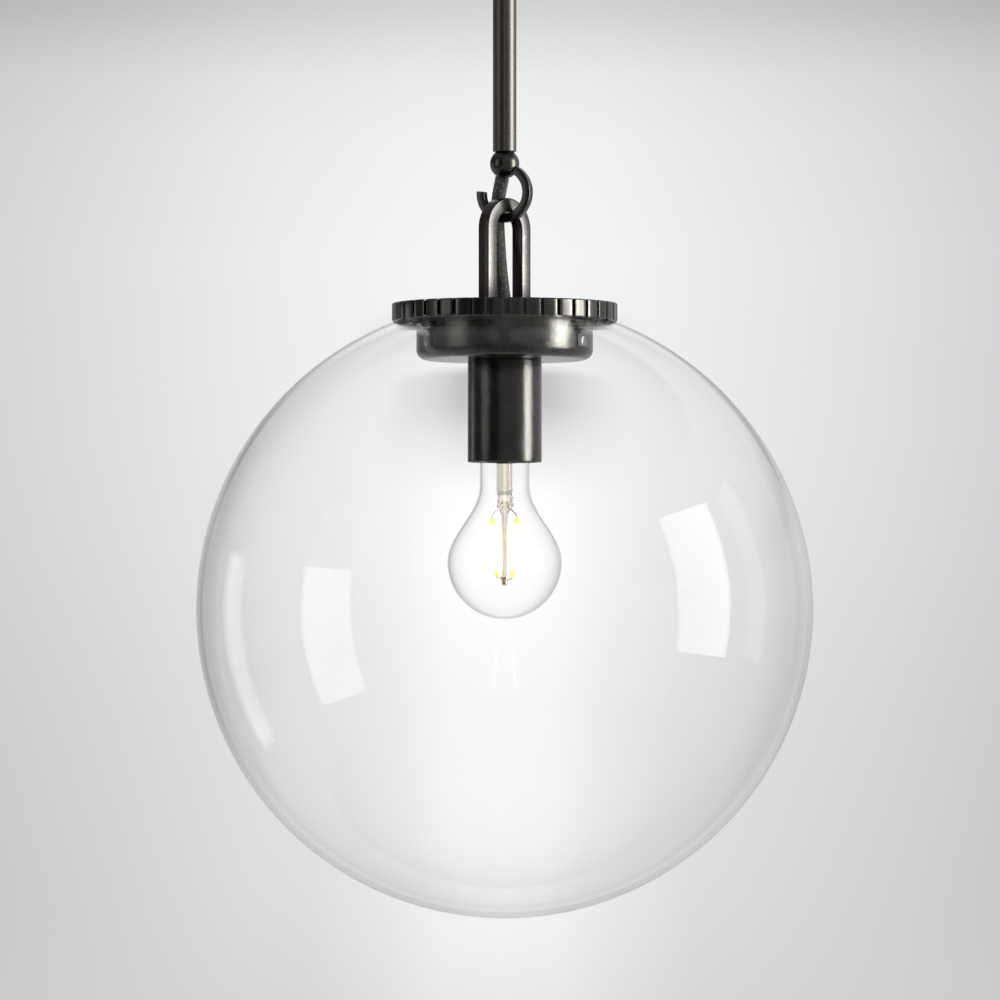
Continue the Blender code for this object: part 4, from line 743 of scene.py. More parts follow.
# %% Threads and nuts
def cut_thread(piece, radius, depth, pitch, low, high, place=(0.0, 0.0)):
    """Wind a thread into the outside or the bore of a finely ringed round piece."""
    for vertex in piece.data.vertices:
        x, y, z = vertex.co.x - place[0], vertex.co.y - place[1], vertex.co.z
        reach = math.hypot(x, y)
        if abs(reach - radius) > 0.02 * MM or not low < z < high:
            continue
        phase = (z / pitch - math.atan2(y, x) / TURN) % 1.0
        fade = min(1.0, (z - low) / pitch, (high - z) / pitch)
        new_reach = reach - depth * fade * (1.0 - abs(2.0 * phase - 1.0))
        vertex.co.x, vertex.co.y = place[0] + x * new_reach / reach, place[1] + y * new_reach / reach


def levels(low, high, step):
    """Heights from low to high, about one step apart."""
    count = max(1, round((high - low) / step))
    return [low + (high - low) * number / count for number in range(count + 1)]


def threaded_rod(name, radius, pitch, low, high, place=(0.0, 0.0), bore=0.0, steps=32):
    """A threaded rod or tube with chamfered ends."""
    chamfer = 0.3 * MM
    outline = [(radius - chamfer, low)] + [(radius, z) for z in levels(low + chamfer,
                                                                      high - chamfer, pitch / 5.0)]
    outline += [(radius - chamfer, high), (bore, high), (bore, low)]
    piece = turned(name, outline if bore else [(0.0, low), *outline[:-1]], steps, bool(bore), place)
    cut_thread(piece, radius, pitch * 0.45, pitch, low + chamfer, high - chamfer, place)
    return piece


def hex_nut(name, flats, bore, low, high, place=(0.0, 0.0)):
    """A hexagon with its corners turned off and a threaded bore."""
    nut = new_primitive(name, bpy.ops.mesh.primitive_cylinder_add, vertices=6,
                        radius=flats / math.sqrt(3.0), depth=high - low,
                        location=(place[0], place[1], (low + high) / 2.0))
    close_up(nut)
    corner, edge = flats / math.sqrt(3.0) + 0.2 * MM, flats * 0.475
    fall = (corner - edge) * 0.55
    carve(nut, turned("corners", [(0.0, low), (edge, low), (corner, low + fall), (corner, high - fall),
                                  (edge, high), (0.0, high)], 48, False, place), "INTERSECT")
    drill(nut, bore, (place[0], place[1], low - MM), (place[0], place[1], high + MM))
    return break_edges(nut, 0.12 * MM, 2, 28.0)


# %% Loop
LOOP_BAR = 8.0 * MM
LOOP_RADIUS = 14.15 * MM
LOOP_TURN = math.radians(46.5)
LOOP_CENTRE = Vector((0.0, 0.0, -0.235192))
STUD_RADIUS = 3.0 * MM
STUD_HOLE = 3.3 * MM
STUD_PITCH = 1.0 * MM
NUT_FLATS = 10.0 * MM
DISC_RADIUS, DISC_LOW, DISC_TOP = size_of("gallery_disc")
FOOT_Z = DISC_TOP + 0.3 * MM
STUD_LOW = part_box("hanger_loop")[0][2]

leg_side = Vector((math.cos(LOOP_TURN), math.sin(LOOP_TURN), 0.0))
leg_normal = Vector((-math.sin(LOOP_TURN), math.cos(LOOP_TURN), 0.0))
foot = leg_side * LOOP_RADIUS + UP * FOOT_Z
loop = bar_section("hanger_loop_bar", LOOP_BAR, 0.9 * MM, foot, Matrix.Rotation(LOOP_TURN, 4, "Z"))
leg = Vector((0.0, 0.0, LOOP_CENTRE.z - FOOT_Z))
bpy.ops.mesh.extrude_region_move(TRANSFORM_OT_translate={"value": leg})
bpy.ops.mesh.spin(steps=48, angle=math.pi, center=LOOP_CENTRE, axis=leg_normal)
bpy.ops.mesh.extrude_region_move(TRANSFORM_OT_translate={"value": -leg})
close_up(loop)
break_edges(loop, 0.35 * MM, 2, 60.0)
print("loop box, mm:", [round(v * 1000, 2) for v in loop.dimensions])
for number, side in enumerate((-1, 1), start=1):
    spot = tuple((leg_side * side * LOOP_RADIUS)[:2])
    stud = threaded_rod("stud", STUD_RADIUS, STUD_PITCH, STUD_LOW, FOOT_Z + 2.0 * MM, spot)
    carve(loop, stud, "UNION")
    radius, low, high = size_of(f"loop_washer_{number}")
    washer = turned(f"washer_{number}", [(STUD_HOLE, low), (radius, low), (radius, high),
                                         (STUD_HOLE, high)], 48, True, spot)
    deliver(break_edges(washer, 0.12 * MM), zinc, "shade", "plated_steel", f"loop_washer_{number}")
    _, low, high = size_of(f"loop_nut_{number}")
    nut = hex_nut(f"nut_{number}", NUT_FLATS, STUD_HOLE, low, high, spot)
    deliver(nut, zinc, "shade", "plated_steel", f"loop_nut_{number}", smooth=30.0)
deliver(loop, bronze_cast, "shade", "blackened_bronze", "hanger_loop")

# %% [markdown]
# ## Notched disc
# Forty notches are milled across the disc's rim, which leaves forty flat-sided teeth. One tooth
# with its notch is a nine-degree slice of the lathe outline: it is spun through nine degrees, the
# rim is cut away over one step, and the three open sides are filled. The slice is then spun forty
# times as a copy and merged, so all teeth are the same.

# %% One slice of the disc
NOTCHES = 40
PITCH_STEPS = 5
NOTCH_DEPTH = 2.3 * MM
NOTCH_START = -math.pi / 2.0
PLATE_UNDER = -0.281192
RIM_INNER = 60.5 * MM
CENTRE_HOLE = 6.9 * MM
chamfer = 0.6 * MM
notch_floor = DISC_RADIUS - NOTCH_DEPTH
rim_low_inner = DISC_LOW + 1.85 * MM

outline = [(CENTRE_HOLE, DISC_TOP), (notch_floor, DISC_TOP), (DISC_RADIUS - chamfer, DISC_TOP),
           (DISC_RADIUS, DISC_TOP - chamfer), (DISC_RADIUS, DISC_LOW + chamfer),
           (DISC_RADIUS - chamfer, DISC_LOW), (notch_floor, DISC_LOW + 0.85 * MM),
           (RIM_INNER, rim_low_inner), (RIM_INNER, PLATE_UNDER), (CENTRE_HOLE, PLATE_UNDER)]
pitch = TURN / NOTCHES
facing = (math.cos(NOTCH_START), math.sin(NOTCH_START))
points = [(r * facing[0], r * facing[1], z) for r, z in outline]
disc = line("notched_disc", points + points[:1])
bpy.ops.mesh.select_all(action="SELECT")
bpy.ops.mesh.spin(steps=PITCH_STEPS, angle=-pitch, center=(0.0, 0.0, 0.0), axis=UP)
close_up(disc)


def angle_from_start(co):
    """How far round the disc a point lies from the first notch, in pitch steps."""
    turned_by = (math.atan2(co.y, co.x) - NOTCH_START + 0.001) % TURN - 0.001
    return turned_by / (pitch / PITCH_STEPS)


def pick(piece, rule):
    """Select the vertices that a rule names, and nothing else."""
    only(piece)
    bpy.ops.object.mode_set(mode="EDIT")
    bpy.ops.mesh.select_all(action="DESELECT")
    bpy.ops.object.mode_set(mode="OBJECT")
    for vertex in piece.data.vertices:
        vertex.select = rule(vertex.co)
    bpy.ops.object.mode_set(mode="EDIT")
    bpy.ops.mesh.select_mode(type="VERT")


def in_step(co, *steps):
    """Whether a point lies on one of these steps of the slice."""
    return any(abs(angle_from_start(co) - step) < 0.01 for step in steps)


def past_floor(co):
    """Whether a point lies on the floor of the notch or outside it."""
    return co.xy.length > notch_floor - 0.01 * MM


pick(disc, lambda co: in_step(co, 0, 1) and past_floor(co))
bpy.ops.mesh.delete(type="ONLY_FACE")
pick(disc, lambda co: in_step(co, 0) and past_floor(co))
bpy.ops.mesh.edge_face_add()
pick(disc, lambda co: in_step(co, 1) and past_floor(co))
bpy.ops.mesh.edge_face_add()
pick(disc, lambda co: in_step(co, 0, 1) and abs(co.xy.length - notch_floor) < 0.01 * MM)
bpy.ops.mesh.edge_face_add()
edit(disc)
bpy.ops.mesh.delete_loose(use_verts=True, use_edges=True, use_faces=False)
print("slice faces:", len(disc.data.polygons))

# %% The whole disc
edit(disc)
bpy.ops.mesh.spin(steps=NOTCHES, angle=TURN, dupli=True, center=(0.0, 0.0, 0.0), axis=UP)
close_up(disc)
break_edges(disc, 0.22 * MM, 2, 38.0)
for side in (-1, 1):
    spot = leg_side * side * LOOP_RADIUS
    drill(disc, STUD_HOLE, (spot.x, spot.y, DISC_LOW), (spot.x, spot.y, DISC_TOP + MM))
deliver(disc, bronze_turned, "shade", "blackened_bronze", "gallery_disc", smooth=30.0)

# %% [markdown]
# ## Nipple, collar and socket cup
# A threaded tube called a nipple holds the disc, the collar, the cup and the socket in one stack.
# The collar and the cup are spun from sheet: each is one closed outline with its own wall.

# %% Nipple and collar
NIPPLE_RADIUS, NIPPLE_LOW, NIPPLE_HIGH = size_of("center_nipple")
NIPPLE_PITCH, NIPPLE_BORE = 0.94 * MM, 4.5 * MM
nipple = threaded_rod("nipple", NIPPLE_RADIUS, NIPPLE_PITCH, NIPPLE_LOW, NIPPLE_HIGH,
                      bore=NIPPLE_BORE, steps=48)
deliver(nipple, zinc_turned, "shade", "plated_steel", "center_nipple")

COLLAR_RADIUS, COLLAR_LOW, COLLAR_HIGH = size_of("collar_cup")
COLLAR_WALL, COLLAR_FLOOR, COLLAR_FILLET = 1.6 * MM, 2.0 * MM, 5.8 * MM
inner = COLLAR_RADIUS - COLLAR_WALL
inner_fillet = COLLAR_FILLET - COLLAR_WALL
collar = turned("collar", [
    (CENTRE_HOLE, COLLAR_LOW),
    *bend(COLLAR_RADIUS - COLLAR_FILLET, COLLAR_LOW + COLLAR_FILLET, COLLAR_FILLET, -90, 0, 16),
    (COLLAR_RADIUS, COLLAR_HIGH), (inner, COLLAR_HIGH),
    *bend(inner - inner_fillet, COLLAR_LOW + COLLAR_FLOOR + inner_fillet, inner_fillet, 0, -90, 12),
    (CENTRE_HOLE, COLLAR_LOW + COLLAR_FLOOR)], 160)
RIVET_Z, RIVET_HOLE = -0.301092, 1.7 * MM
CLIP_ANGLES = (90.0, 210.0, 330.0)
for degrees in CLIP_ANGLES:
    out = Vector((math.cos(math.radians(degrees)), math.sin(math.radians(degrees)), 0.0))
    drill(collar, RIVET_HOLE, out * 48.0 * MM + UP * RIVET_Z, out * 53.0 * MM + UP * RIVET_Z, 20)
deliver(collar, bronze_turned, "shade", "blackened_bronze", "collar_cup")

# %% Socket cup and locknut
CUP_RADIUS, CUP_LOW, CUP_HIGH = size_of("socket_cup")
CUP_WALL = 1.4 * MM
edge = 0.5 * MM
inner = CUP_RADIUS - CUP_WALL
cup = turned("socket_cup_shell", [
    (CENTRE_HOLE, CUP_HIGH), *bend(CUP_RADIUS - edge, CUP_HIGH - edge, edge, 90, 0, 4),
    *bend(CUP_RADIUS - edge, CUP_LOW + edge, edge, 0, -90, 4),
    *bend(inner + 0.3 * MM, CUP_LOW + 0.3 * MM, 0.3 * MM, -90, -180, 3),
    (inner, CUP_HIGH - 2.0 * MM), (CENTRE_HOLE, CUP_HIGH - 2.0 * MM)], 128)
deliver(cup, bronze_turned, "shade", "blackened_bronze", "socket_cup")
_, low, high = size_of("cup_locknut")
deliver(hex_nut("locknut", 17.0 * MM, 6.9 * MM, low, high), zinc, "shade", "plated_steel",
        "cup_locknut", smooth=30.0)

# %% [markdown]
# ## Clips, rivets and gasket
# Three strips of spring steel bow out under the glass's edge and hold the globe up. A strip is a
# bent line, extruded sideways to its width and given its thickness by a Solidify modifier. One
# clip is made, facing sideways, and copied round.

# %% Spring clips
CLIP_WIDTH, CLIP_THICKNESS = 10.0 * MM, 0.5 * MM
CLIP_SHAPE = ((51.50, -304.092), (51.50, -299.092), (52.00, -297.292), (55.90, -293.792),
              (57.10, -291.792), (56.40, -290.292), (52.70, -289.092), (51.60, -287.592))
clip_line = smooth_route([Vector((r, 0.0, z)) * MM for r, z in CLIP_SHAPE], 0.5 * MM)
clip_line = [point - Vector((0.0, CLIP_WIDTH / 2.0, 0.0)) for point in clip_line]
first_clip = line("clip", clip_line)
bpy.ops.mesh.select_all(action="SELECT")
bpy.ops.mesh.extrude_region_move(TRANSFORM_OT_translate={"value": (0.0, CLIP_WIDTH, 0.0)})
close_up(first_clip)
apply_modifier(first_clip, "SOLIDIFY", thickness=CLIP_THICKNESS, offset=0.0)
close_up(first_clip)
break_edges(first_clip, 0.08 * MM, 2, 60.0)
drill(first_clip, RIVET_HOLE, (50.0 * MM, 0.0, RIVET_Z), (53.0 * MM, 0.0, RIVET_Z), 20)

# %% Rivets, and the copies round the collar
RIVET_SHAPE = ((0.0, 48.5), (1.4, 48.5), (1.4, 51.85), (2.6, 51.85), (2.5, 52.05), (2.0, 52.35),
               (1.2, 52.45), (0.0, 52.45))
first_rivet = turned("rivet", [(r * MM, z * MM) for r, z in RIVET_SHAPE], 24, False)
first_rivet.rotation_euler = (0.0, math.pi / 2.0, 0.0)
first_rivet.location = (0.0, 0.0, RIVET_Z)
close_up(first_rivet)
for number, degrees in enumerate(CLIP_ANGLES, start=1):
    clip = copy_turned(first_clip, f"clip_{number}", degrees)
    deliver(clip, spring, "shade", "spring_steel", f"globe_clip_{number}", smooth=40.0)
    rivet = copy_turned(first_rivet, f"rivet_{number}", degrees)
    deliver(rivet, zinc, "shade", "plated_steel", f"clip_rivet_{number}")
bpy.data.objects.remove(first_clip)
bpy.data.objects.remove(first_rivet)

# %% Gasket
low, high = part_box("globe_gasket")
GASKET_INNER = 51.7 * MM
outer = high[0]
gasket = turned("gasket", [(GASKET_INNER, low[2]), (outer, low[2]), (outer, high[2]),
                           (GASKET_INNER, high[2])], 128)
deliver(break_edges(gasket, 0.6 * MM, 4), silicone, "shade", "silicone", "globe_gasket")

# %% [markdown]
# ## Socket
# Inside the cup sits a lamp socket: a brass cap, a glazed porcelain body, a brass shell rolled
# into a coarse thread, and a contact. Two leads come out of the cord to two screws.


# %% Rolled screw shells
def rolled_shell(name, radius, wall, top_radius, low, high, shoulder, pitch=3.63 * MM,
                 depth=0.55 * MM):
    """A thin shell whose side is rolled into a coarse round thread, open at the bottom."""
    side = levels(low, high - shoulder, 0.45 * MM)
    outline = [(radius, z) for z in side] + [(radius - shoulder, high), (top_radius, high)]
    piece = line(name, [(r, 0.0, z) for r, z in outline])
    bpy.ops.mesh.select_all(action="SELECT")
    bpy.ops.mesh.spin(steps=72, angle=TURN, center=(0.0, 0.0, 0.0), axis=UP)
    close_up(piece)
    for vertex in piece.data.vertices:
        x, y, z = vertex.co
        reach = math.hypot(x, y)
        if abs(reach - radius) > 0.01 * MM:
            continue
        fade = min(1.0, max(0.0, (z - low) / pitch - 0.4), max(0.0, (high - shoulder - z) / pitch))
        wave = 0.5 - 0.5 * math.cos(TURN * (z / pitch - math.atan2(y, x) / TURN))
        new_reach = reach - depth * fade * wave
        vertex.co.x, vertex.co.y = x * new_reach / reach, y * new_reach / reach
    apply_modifier(piece, "SOLIDIFY", thickness=wall, offset=-1.0)
    return close_up(piece)


_, low, high = size_of("socket_screw_shell")
shell = rolled_shell("socket_shell", 14.4 * MM, 0.25 * MM, 9.0 * MM, low, high, 0.4 * MM)
deliver(shell, brass, "shade", "brass", "socket_screw_shell", smooth=50.0)

# %% Cap, porcelain body, contact and screws
radius, low, high = size_of("socket_cap")
cap = turned("socket_cap_shell", [
    (CENTRE_HOLE, high), *bend(radius - 2.0 * MM, high - 2.0 * MM, 2.0 * MM, 90, 0, 8), (radius, low),
    (radius - 1.5 * MM, low), (radius - 1.5 * MM, high - 2.5 * MM), (CENTRE_HOLE, high - 2.5 * MM)],
    72)
deliver(break_edges(cap, 0.15 * MM), brass, "shade", "brass", "socket_cap")

radius, low, high = size_of("socket_body")
cavity, hole = 14.7 * MM, 2.3 * MM
body = turned("porcelain_body", [
    (hole, high), (radius, high), (radius, low + 6.0 * MM), (radius - 0.5 * MM, low + 5.5 * MM),
    (radius - 0.5 * MM, low), (cavity, low), (cavity, high - 5.5 * MM), (hole, high - 5.5 * MM)], 96)
break_edges(body, 0.35 * MM, 3)
TERMINAL_SPREAD = 10.0 * MM
for side in (-1, 1):
    drill(body, 1.8 * MM, (side * TERMINAL_SPREAD, 0.0, high - 4.5 * MM),
          (side * TERMINAL_SPREAD, 0.0, high + MM), 24)
deliver(body, porcelain, "shade", "porcelain", "socket_body")

TONGUE_TOP, TAIL_RADIUS = -0.335392, 2.0 * MM
radius, low, high = size_of("socket_contact")
contact = turned("contact_tongue", [
    (0.0, low), (2.5 * MM, low), (radius, low + 0.5 * MM), (radius, TONGUE_TOP),
    (TAIL_RADIUS, TONGUE_TOP), (TAIL_RADIUS, high), (0.0, high)], 48, False)
deliver(break_edges(contact, 0.15 * MM), brass, "shade", "brass", "socket_contact")


def slotted_screw(name, head_radius, shank_radius, low, under, top, place, turn=0.0):
    """A screw with a domed, slotted head, standing on its shank or hanging from it."""
    dome = [(head_radius, under), (head_radius, under + (top - under) * 0.55),
            (head_radius * 0.8, under + (top - under) * 0.85), (head_radius * 0.45, top), (0.0, top)]
    screw = turned(name, [(0.0, low), (shank_radius, low), (shank_radius, under), *dome], 32, False,
                   place)
    slot_tool = new_primitive("slot", bpy.ops.mesh.primitive_cube_add, size=1.0,
                              location=(place[0], place[1], top), rotation=(0.0, 0.0, turn),
                              scale=(head_radius * 2.4, 0.7 * MM, 1.6 * MM))
    carve(screw, close_up(slot_tool))
    return break_edges(screw, 0.08 * MM, 1, 50.0)


BODY_TOP = size_of("socket_body")[2]
for number, side in enumerate((-1, 1), start=1):
    screw = slotted_screw(f"terminal_screw_head_{number}", 3.0 * MM, 1.5 * MM, BODY_TOP - 3.5 * MM,
                          BODY_TOP + 0.3 * MM, BODY_TOP + 2.2 * MM, (side * TERMINAL_SPREAD, 0.0),
                          0.4 * side)
    deliver(screw, brass, "shade", "brass", f"terminal_screw_{number}")


# %% Leads in the socket
LEAD_RADIUS = 1.1 * MM


def lead(name, node, body, route, material, slot):
    """An insulated lead: a round tube on a smooth route."""
    piece = tube(name, smooth_route(route, 0.5 * MM), LEAD_RADIUS, 16)
    return deliver(piece, material, body, slot, node, smooth=60.0)


cord_end = CORD_POINTS[-1][2] * MM
for number, (side, material, slot) in enumerate(((-1, black_lead, "lead_black"),
                                                 (1, white_lead, "lead_white")), start=1):
    start = Vector((side * 1.7 * MM, 0.0, cord_end - 0.3 * MM))
    end = Vector((side * TERMINAL_SPREAD, 0.0, BODY_TOP + 2.5 * MM))
    drop = Vector((0.0, 0.0, start.z - end.z))
    route = [start, start - drop * 0.35, start.lerp(end, 0.5) - drop * 0.08, end + drop * 0.3, end]
    lead(f"lead_in_socket_{number}", f"socket_lead_{number}", "shade", route, material, slot)

# %% [markdown]
# ## Glass globe
# The globe is blown, so its wall is even and its opening is cut and then melted smooth in a flame.
# One closed outline makes both skins: down the outside, up the inside, and round the lip.

# %% Globe
GLOBE_RADIUS, GLOBE_LOW, _ = size_of("glass_globe")
GLOBE_CENTRE_Z = GLOBE_LOW + GLOBE_RADIUS
GLOBE_WALL = 3.0 * MM
GLOBE_OPENING = 53.5 * MM
inner_radius = GLOBE_RADIUS - GLOBE_WALL
outer_edge = math.degrees(math.acos((GLOBE_OPENING + 1.0 * MM) / GLOBE_RADIUS))
inner_edge = math.degrees(math.acos((GLOBE_OPENING + 0.8 * MM) / inner_radius))
outside = bend(0.0, GLOBE_CENTRE_Z, GLOBE_RADIUS, -90, outer_edge, 80)
inside = bend(0.0, GLOBE_CENTRE_Z, inner_radius, inner_edge, -90, 80)
lip_high = outside[-1][1] - 0.35 * MM
lip_low = inside[0][1] + 0.35 * MM
outside[0] = (0.0, GLOBE_LOW)
inside[-1] = (0.0, GLOBE_LOW + GLOBE_WALL)
lip = [(GLOBE_OPENING + 0.3 * MM, lip_high), (GLOBE_OPENING, lip_high - 0.6 * MM),
       (GLOBE_OPENING, lip_low + 0.6 * MM), (GLOBE_OPENING + 0.25 * MM, lip_low)]
globe = turned("globe", outside + lip + inside, 160, False)
deliver(globe, globe_glass, "globe", "clear_glass", "glass_globe", smooth=60.0)

# %% [markdown]
# ## Lamp
# The lamp is a filament-style lamp: a nickel-plated screw base, a clear blown bulb, and inside it
# a glass stem that is drawn to a tube, pinched flat round its wires, and drawn on to a thin rod.
# Four glowing strips lean from wires at the pinch in to a small metal hub at the rod's end.

# %% Base
_, BASE_LOW, BASE_HIGH = size_of("bulb_base_shell")
base = rolled_shell("lamp_base", 13.2 * MM, 0.3 * MM, 7.0 * MM, BASE_LOW, BASE_HIGH, 2.0 * MM)
deliver(base, nickel, "bulb", "plated_steel", "bulb_base_shell", smooth=50.0)
_, low, high = size_of("bulb_contact")
tip = turned("lamp_contact", [(0.0, low), (3.8 * MM, low), (3.6 * MM, high - 0.5 * MM),
                              (2.6 * MM, high - 0.1 * MM), (0.0, high)], 40, False)
deliver(tip, brass, "bulb", "brass", "bulb_contact")
_, low, high = size_of("bulb_base_insulator")
insulator = turned("lamp_insulator", [(0.0, low), (9.6 * MM, low), (9.4 * MM, low + 0.6 * MM),
                                      (7.6 * MM, low + 1.7 * MM), (5.2 * MM, high - 0.2 * MM),
                                      (5.0 * MM, high), (0.0, high)], 48, False)
deliver(insulator, black_insulator, "bulb", "black_glass", "bulb_base_insulator")

# %% Driver board
CHIPS = ((-3.5, 3.0, 3.0, 2.2), (2.8, 2.5, 4.0, 3.4), (-2.0, -2.6, 5.0, 3.0), (4.2, -3.6, 2.0, 3.0))
CHIP_THICKNESS = 1.6 * MM
low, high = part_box("bulb_driver_board")
centre = [(low[axis] + high[axis]) / 2.0 for axis in range(3)]
board = new_primitive("driver_board", bpy.ops.mesh.primitive_cube_add, size=1.0, location=centre,
                      scale=[high[axis] - low[axis] - 0.02 * MM for axis in range(3)])
close_up(board)
break_edges(board, 0.12 * MM, 1)
for x, z, wide, tall in CHIPS:
    chip = new_primitive("chip", bpy.ops.mesh.primitive_cube_add, size=1.0,
                         location=(centre[0] + x * MM, low[1] + 0.1 * MM, centre[2] + z * MM),
                         scale=(wide * MM, CHIP_THICKNESS, tall * MM))
    carve(board, break_edges(close_up(chip), 0.15 * MM, 1), "UNION")
deliver(board, board_green, "bulb", "circuit_board", "bulb_driver_board", smooth=30.0)

# %% Bulb glass
NECK_RADIUS, BULB_RADIUS, BULB_WALL = 14.4 * MM, 33.0 * MM, 1.0 * MM
_, BULB_LOW, BULB_MOUTH = size_of("bulb_glass")
BULB_CENTRE_Z = BULB_LOW + BULB_RADIUS
NECK_TOP = BASE_LOW - 3.5 * MM
NECK_LOW = NECK_TOP - 15.0 * MM
MOUTH_RADIUS = 12.3 * MM
SHOULDER_TOP, SHOULDER_FALL = BASE_LOW - 0.2 * MM, 4.3 * MM


def bulb_side(inset):
    """The bulb's outline from its mouth to its tip, set in by the wall."""
    neck, radius = NECK_RADIUS - inset, BULB_RADIUS - inset
    mouth = MOUTH_RADIUS - inset
    points = [(mouth, BULB_MOUTH), (mouth, SHOULDER_TOP)]
    points += [(mouth + (neck - mouth) * (0.5 - 0.5 * math.cos(math.pi * share / 8.0)),
                SHOULDER_TOP - SHOULDER_FALL * share / 8.0) for share in range(1, 9)]
    points += [(neck, z) for z in levels(NECK_TOP - 2.5 * MM, NECK_LOW, -3.0 * MM)[:-1]]
    rise = NECK_LOW - BULB_CENTRE_Z
    points += [(neck + (radius - neck) * (0.5 - 0.5 * math.cos(math.pi * share / 24.0)),
                NECK_LOW - rise * share / 24.0) for share in range(24)]
    points += bend(0.0, BULB_CENTRE_Z, radius, 0.0, -90.0, 28)
    points[-1] = (0.0, BULB_CENTRE_Z - radius)
    return points


bulb = turned("bulb", bulb_side(0.0) + list(reversed(bulb_side(BULB_WALL))), 96)
deliver(bulb, lamp_glass, "bulb", "lamp_glass", "bulb_glass", smooth=60.0)

# %% Glass stem of the lamp
STEM_TOP = BULB_MOUTH
FLARE_LIP, TUBE_LENGTH, PINCH_LENGTH = 1.2 * MM, 24.0 * MM, 12.0 * MM
PINCH_LOW = BULB_MOUTH - FLARE_LIP - TUBE_LENGTH - PINCH_LENGTH
ROD_LOW = size_of("bulb_stem")[1]
tube_low = PINCH_LOW + PINCH_LENGTH
mount = turned("lamp_stem", [
    (0.0, STEM_TOP), (10.9 * MM, STEM_TOP), (11.0 * MM, STEM_TOP - FLARE_LIP),
    (7.6 * MM, STEM_TOP - 2.2 * MM), (5.4 * MM, STEM_TOP - 4.2 * MM),
    (4.6 * MM, STEM_TOP - 7.0 * MM),
    *[(4.6 * MM, z) for z in levels(STEM_TOP - 10.0 * MM, tube_low, -2.5 * MM)],
    *[(4.5 * MM - 1.8 * MM * share / 16.0, tube_low - 10.5 * MM * share / 16.0)
      for share in range(1, 17)],
    (2.0 * MM, PINCH_LOW - 0.5 * MM), (1.7 * MM, PINCH_LOW - 2.0 * MM),
    (1.7 * MM, ROD_LOW + 1.5 * MM), (1.4 * MM, ROD_LOW + 0.3 * MM), (0.0, ROD_LOW)], 48, False)
for vertex in mount.data.vertices:
    share = (vertex.co.z - PINCH_LOW + 2.0 * MM) / (tube_low - PINCH_LOW)
    press = math.sin(math.pi * min(1.0, max(0.0, share)))
    around = math.atan2(vertex.co.y, vertex.co.x)
    ripple = math.sin(vertex.co.z / (0.75 * MM)) * math.cos(2.0 * around)
    vertex.co.y *= 1.0 - (0.42 + 0.14 * ripple) * press
    vertex.co.x *= 1.0 + (0.55 + 0.16 * ripple) * press
deliver(mount, stem_glass, "bulb", "lamp_glass", "bulb_stem", smooth=60.0)

# %% [markdown]
# ### Glowing strips
# Each strip is a thin glass or ceramic rod with rows of light chips under a yellow coat. The
# middle is so bright that it looks white, and the ends, which have no chips, show the yellow coat.
# The colour is read along the strip's height, and the strength is one plain number.

# %% Strips, wires and hub
STRIP_RADIUS, WIRE_RADIUS = 1.45 * MM, 0.28 * MM
STRIP_TOP_REACH, STRIP_FOOT_REACH = 10.0 * MM, 6.2 * MM
glow, tree, shader, place = new_material("filament_glow", Roughness=0.5, Emission_Strength=9.0)
facing = add(tree, "ShaderNodeLayerWeight", {"Blend": 0.5}).outputs["Facing"]
height = add(tree, "ShaderNodeSeparateXYZ", {0: place}).outputs[2]
low_z, high_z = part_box("filament_1")[0][2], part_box("filament_1")[1][2]
share = add(tree, "ShaderNodeMapRange", {"Value": height, "From Min": low_z, "From Max": high_z})
tone = ramp(tree, share.outputs[0], (0.0, (0.10, 0.055, 0.006)), (0.07, (0.14, 0.085, 0.010)),
            (0.13, (0.5, 0.36, 0.16)), (0.24, (1.0, 0.84, 0.58)), (0.76, (1.0, 0.84, 0.58)),
            (0.87, (0.5, 0.36, 0.16)), (0.93, (0.14, 0.085, 0.010)), (1.0, (0.10, 0.055, 0.006)))
chips = add(tree, "ShaderNodeTexNoise", {"Vector": place, "Scale": 900.0, "Detail": 2.0})
patchy = blend_colours(tree, calc(tree, "MULTIPLY", chips.outputs[0], 0.12), tone,
                       (0.3, 0.16, 0.03))
rim = ramp(tree, facing, (0.10, 0.0), (0.34, 1.0))
tree.links.new(blend_colours(tree, rim, patchy, (0.125, 0.088, 0.036)),
               shader.inputs["Emission Color"])
tree.links.new(ramp(tree, chips.outputs[0], (0.3, (0.85, 0.50, 0.08)), (0.7, (0.95, 0.62, 0.14))),
               shader.inputs["Base Color"])
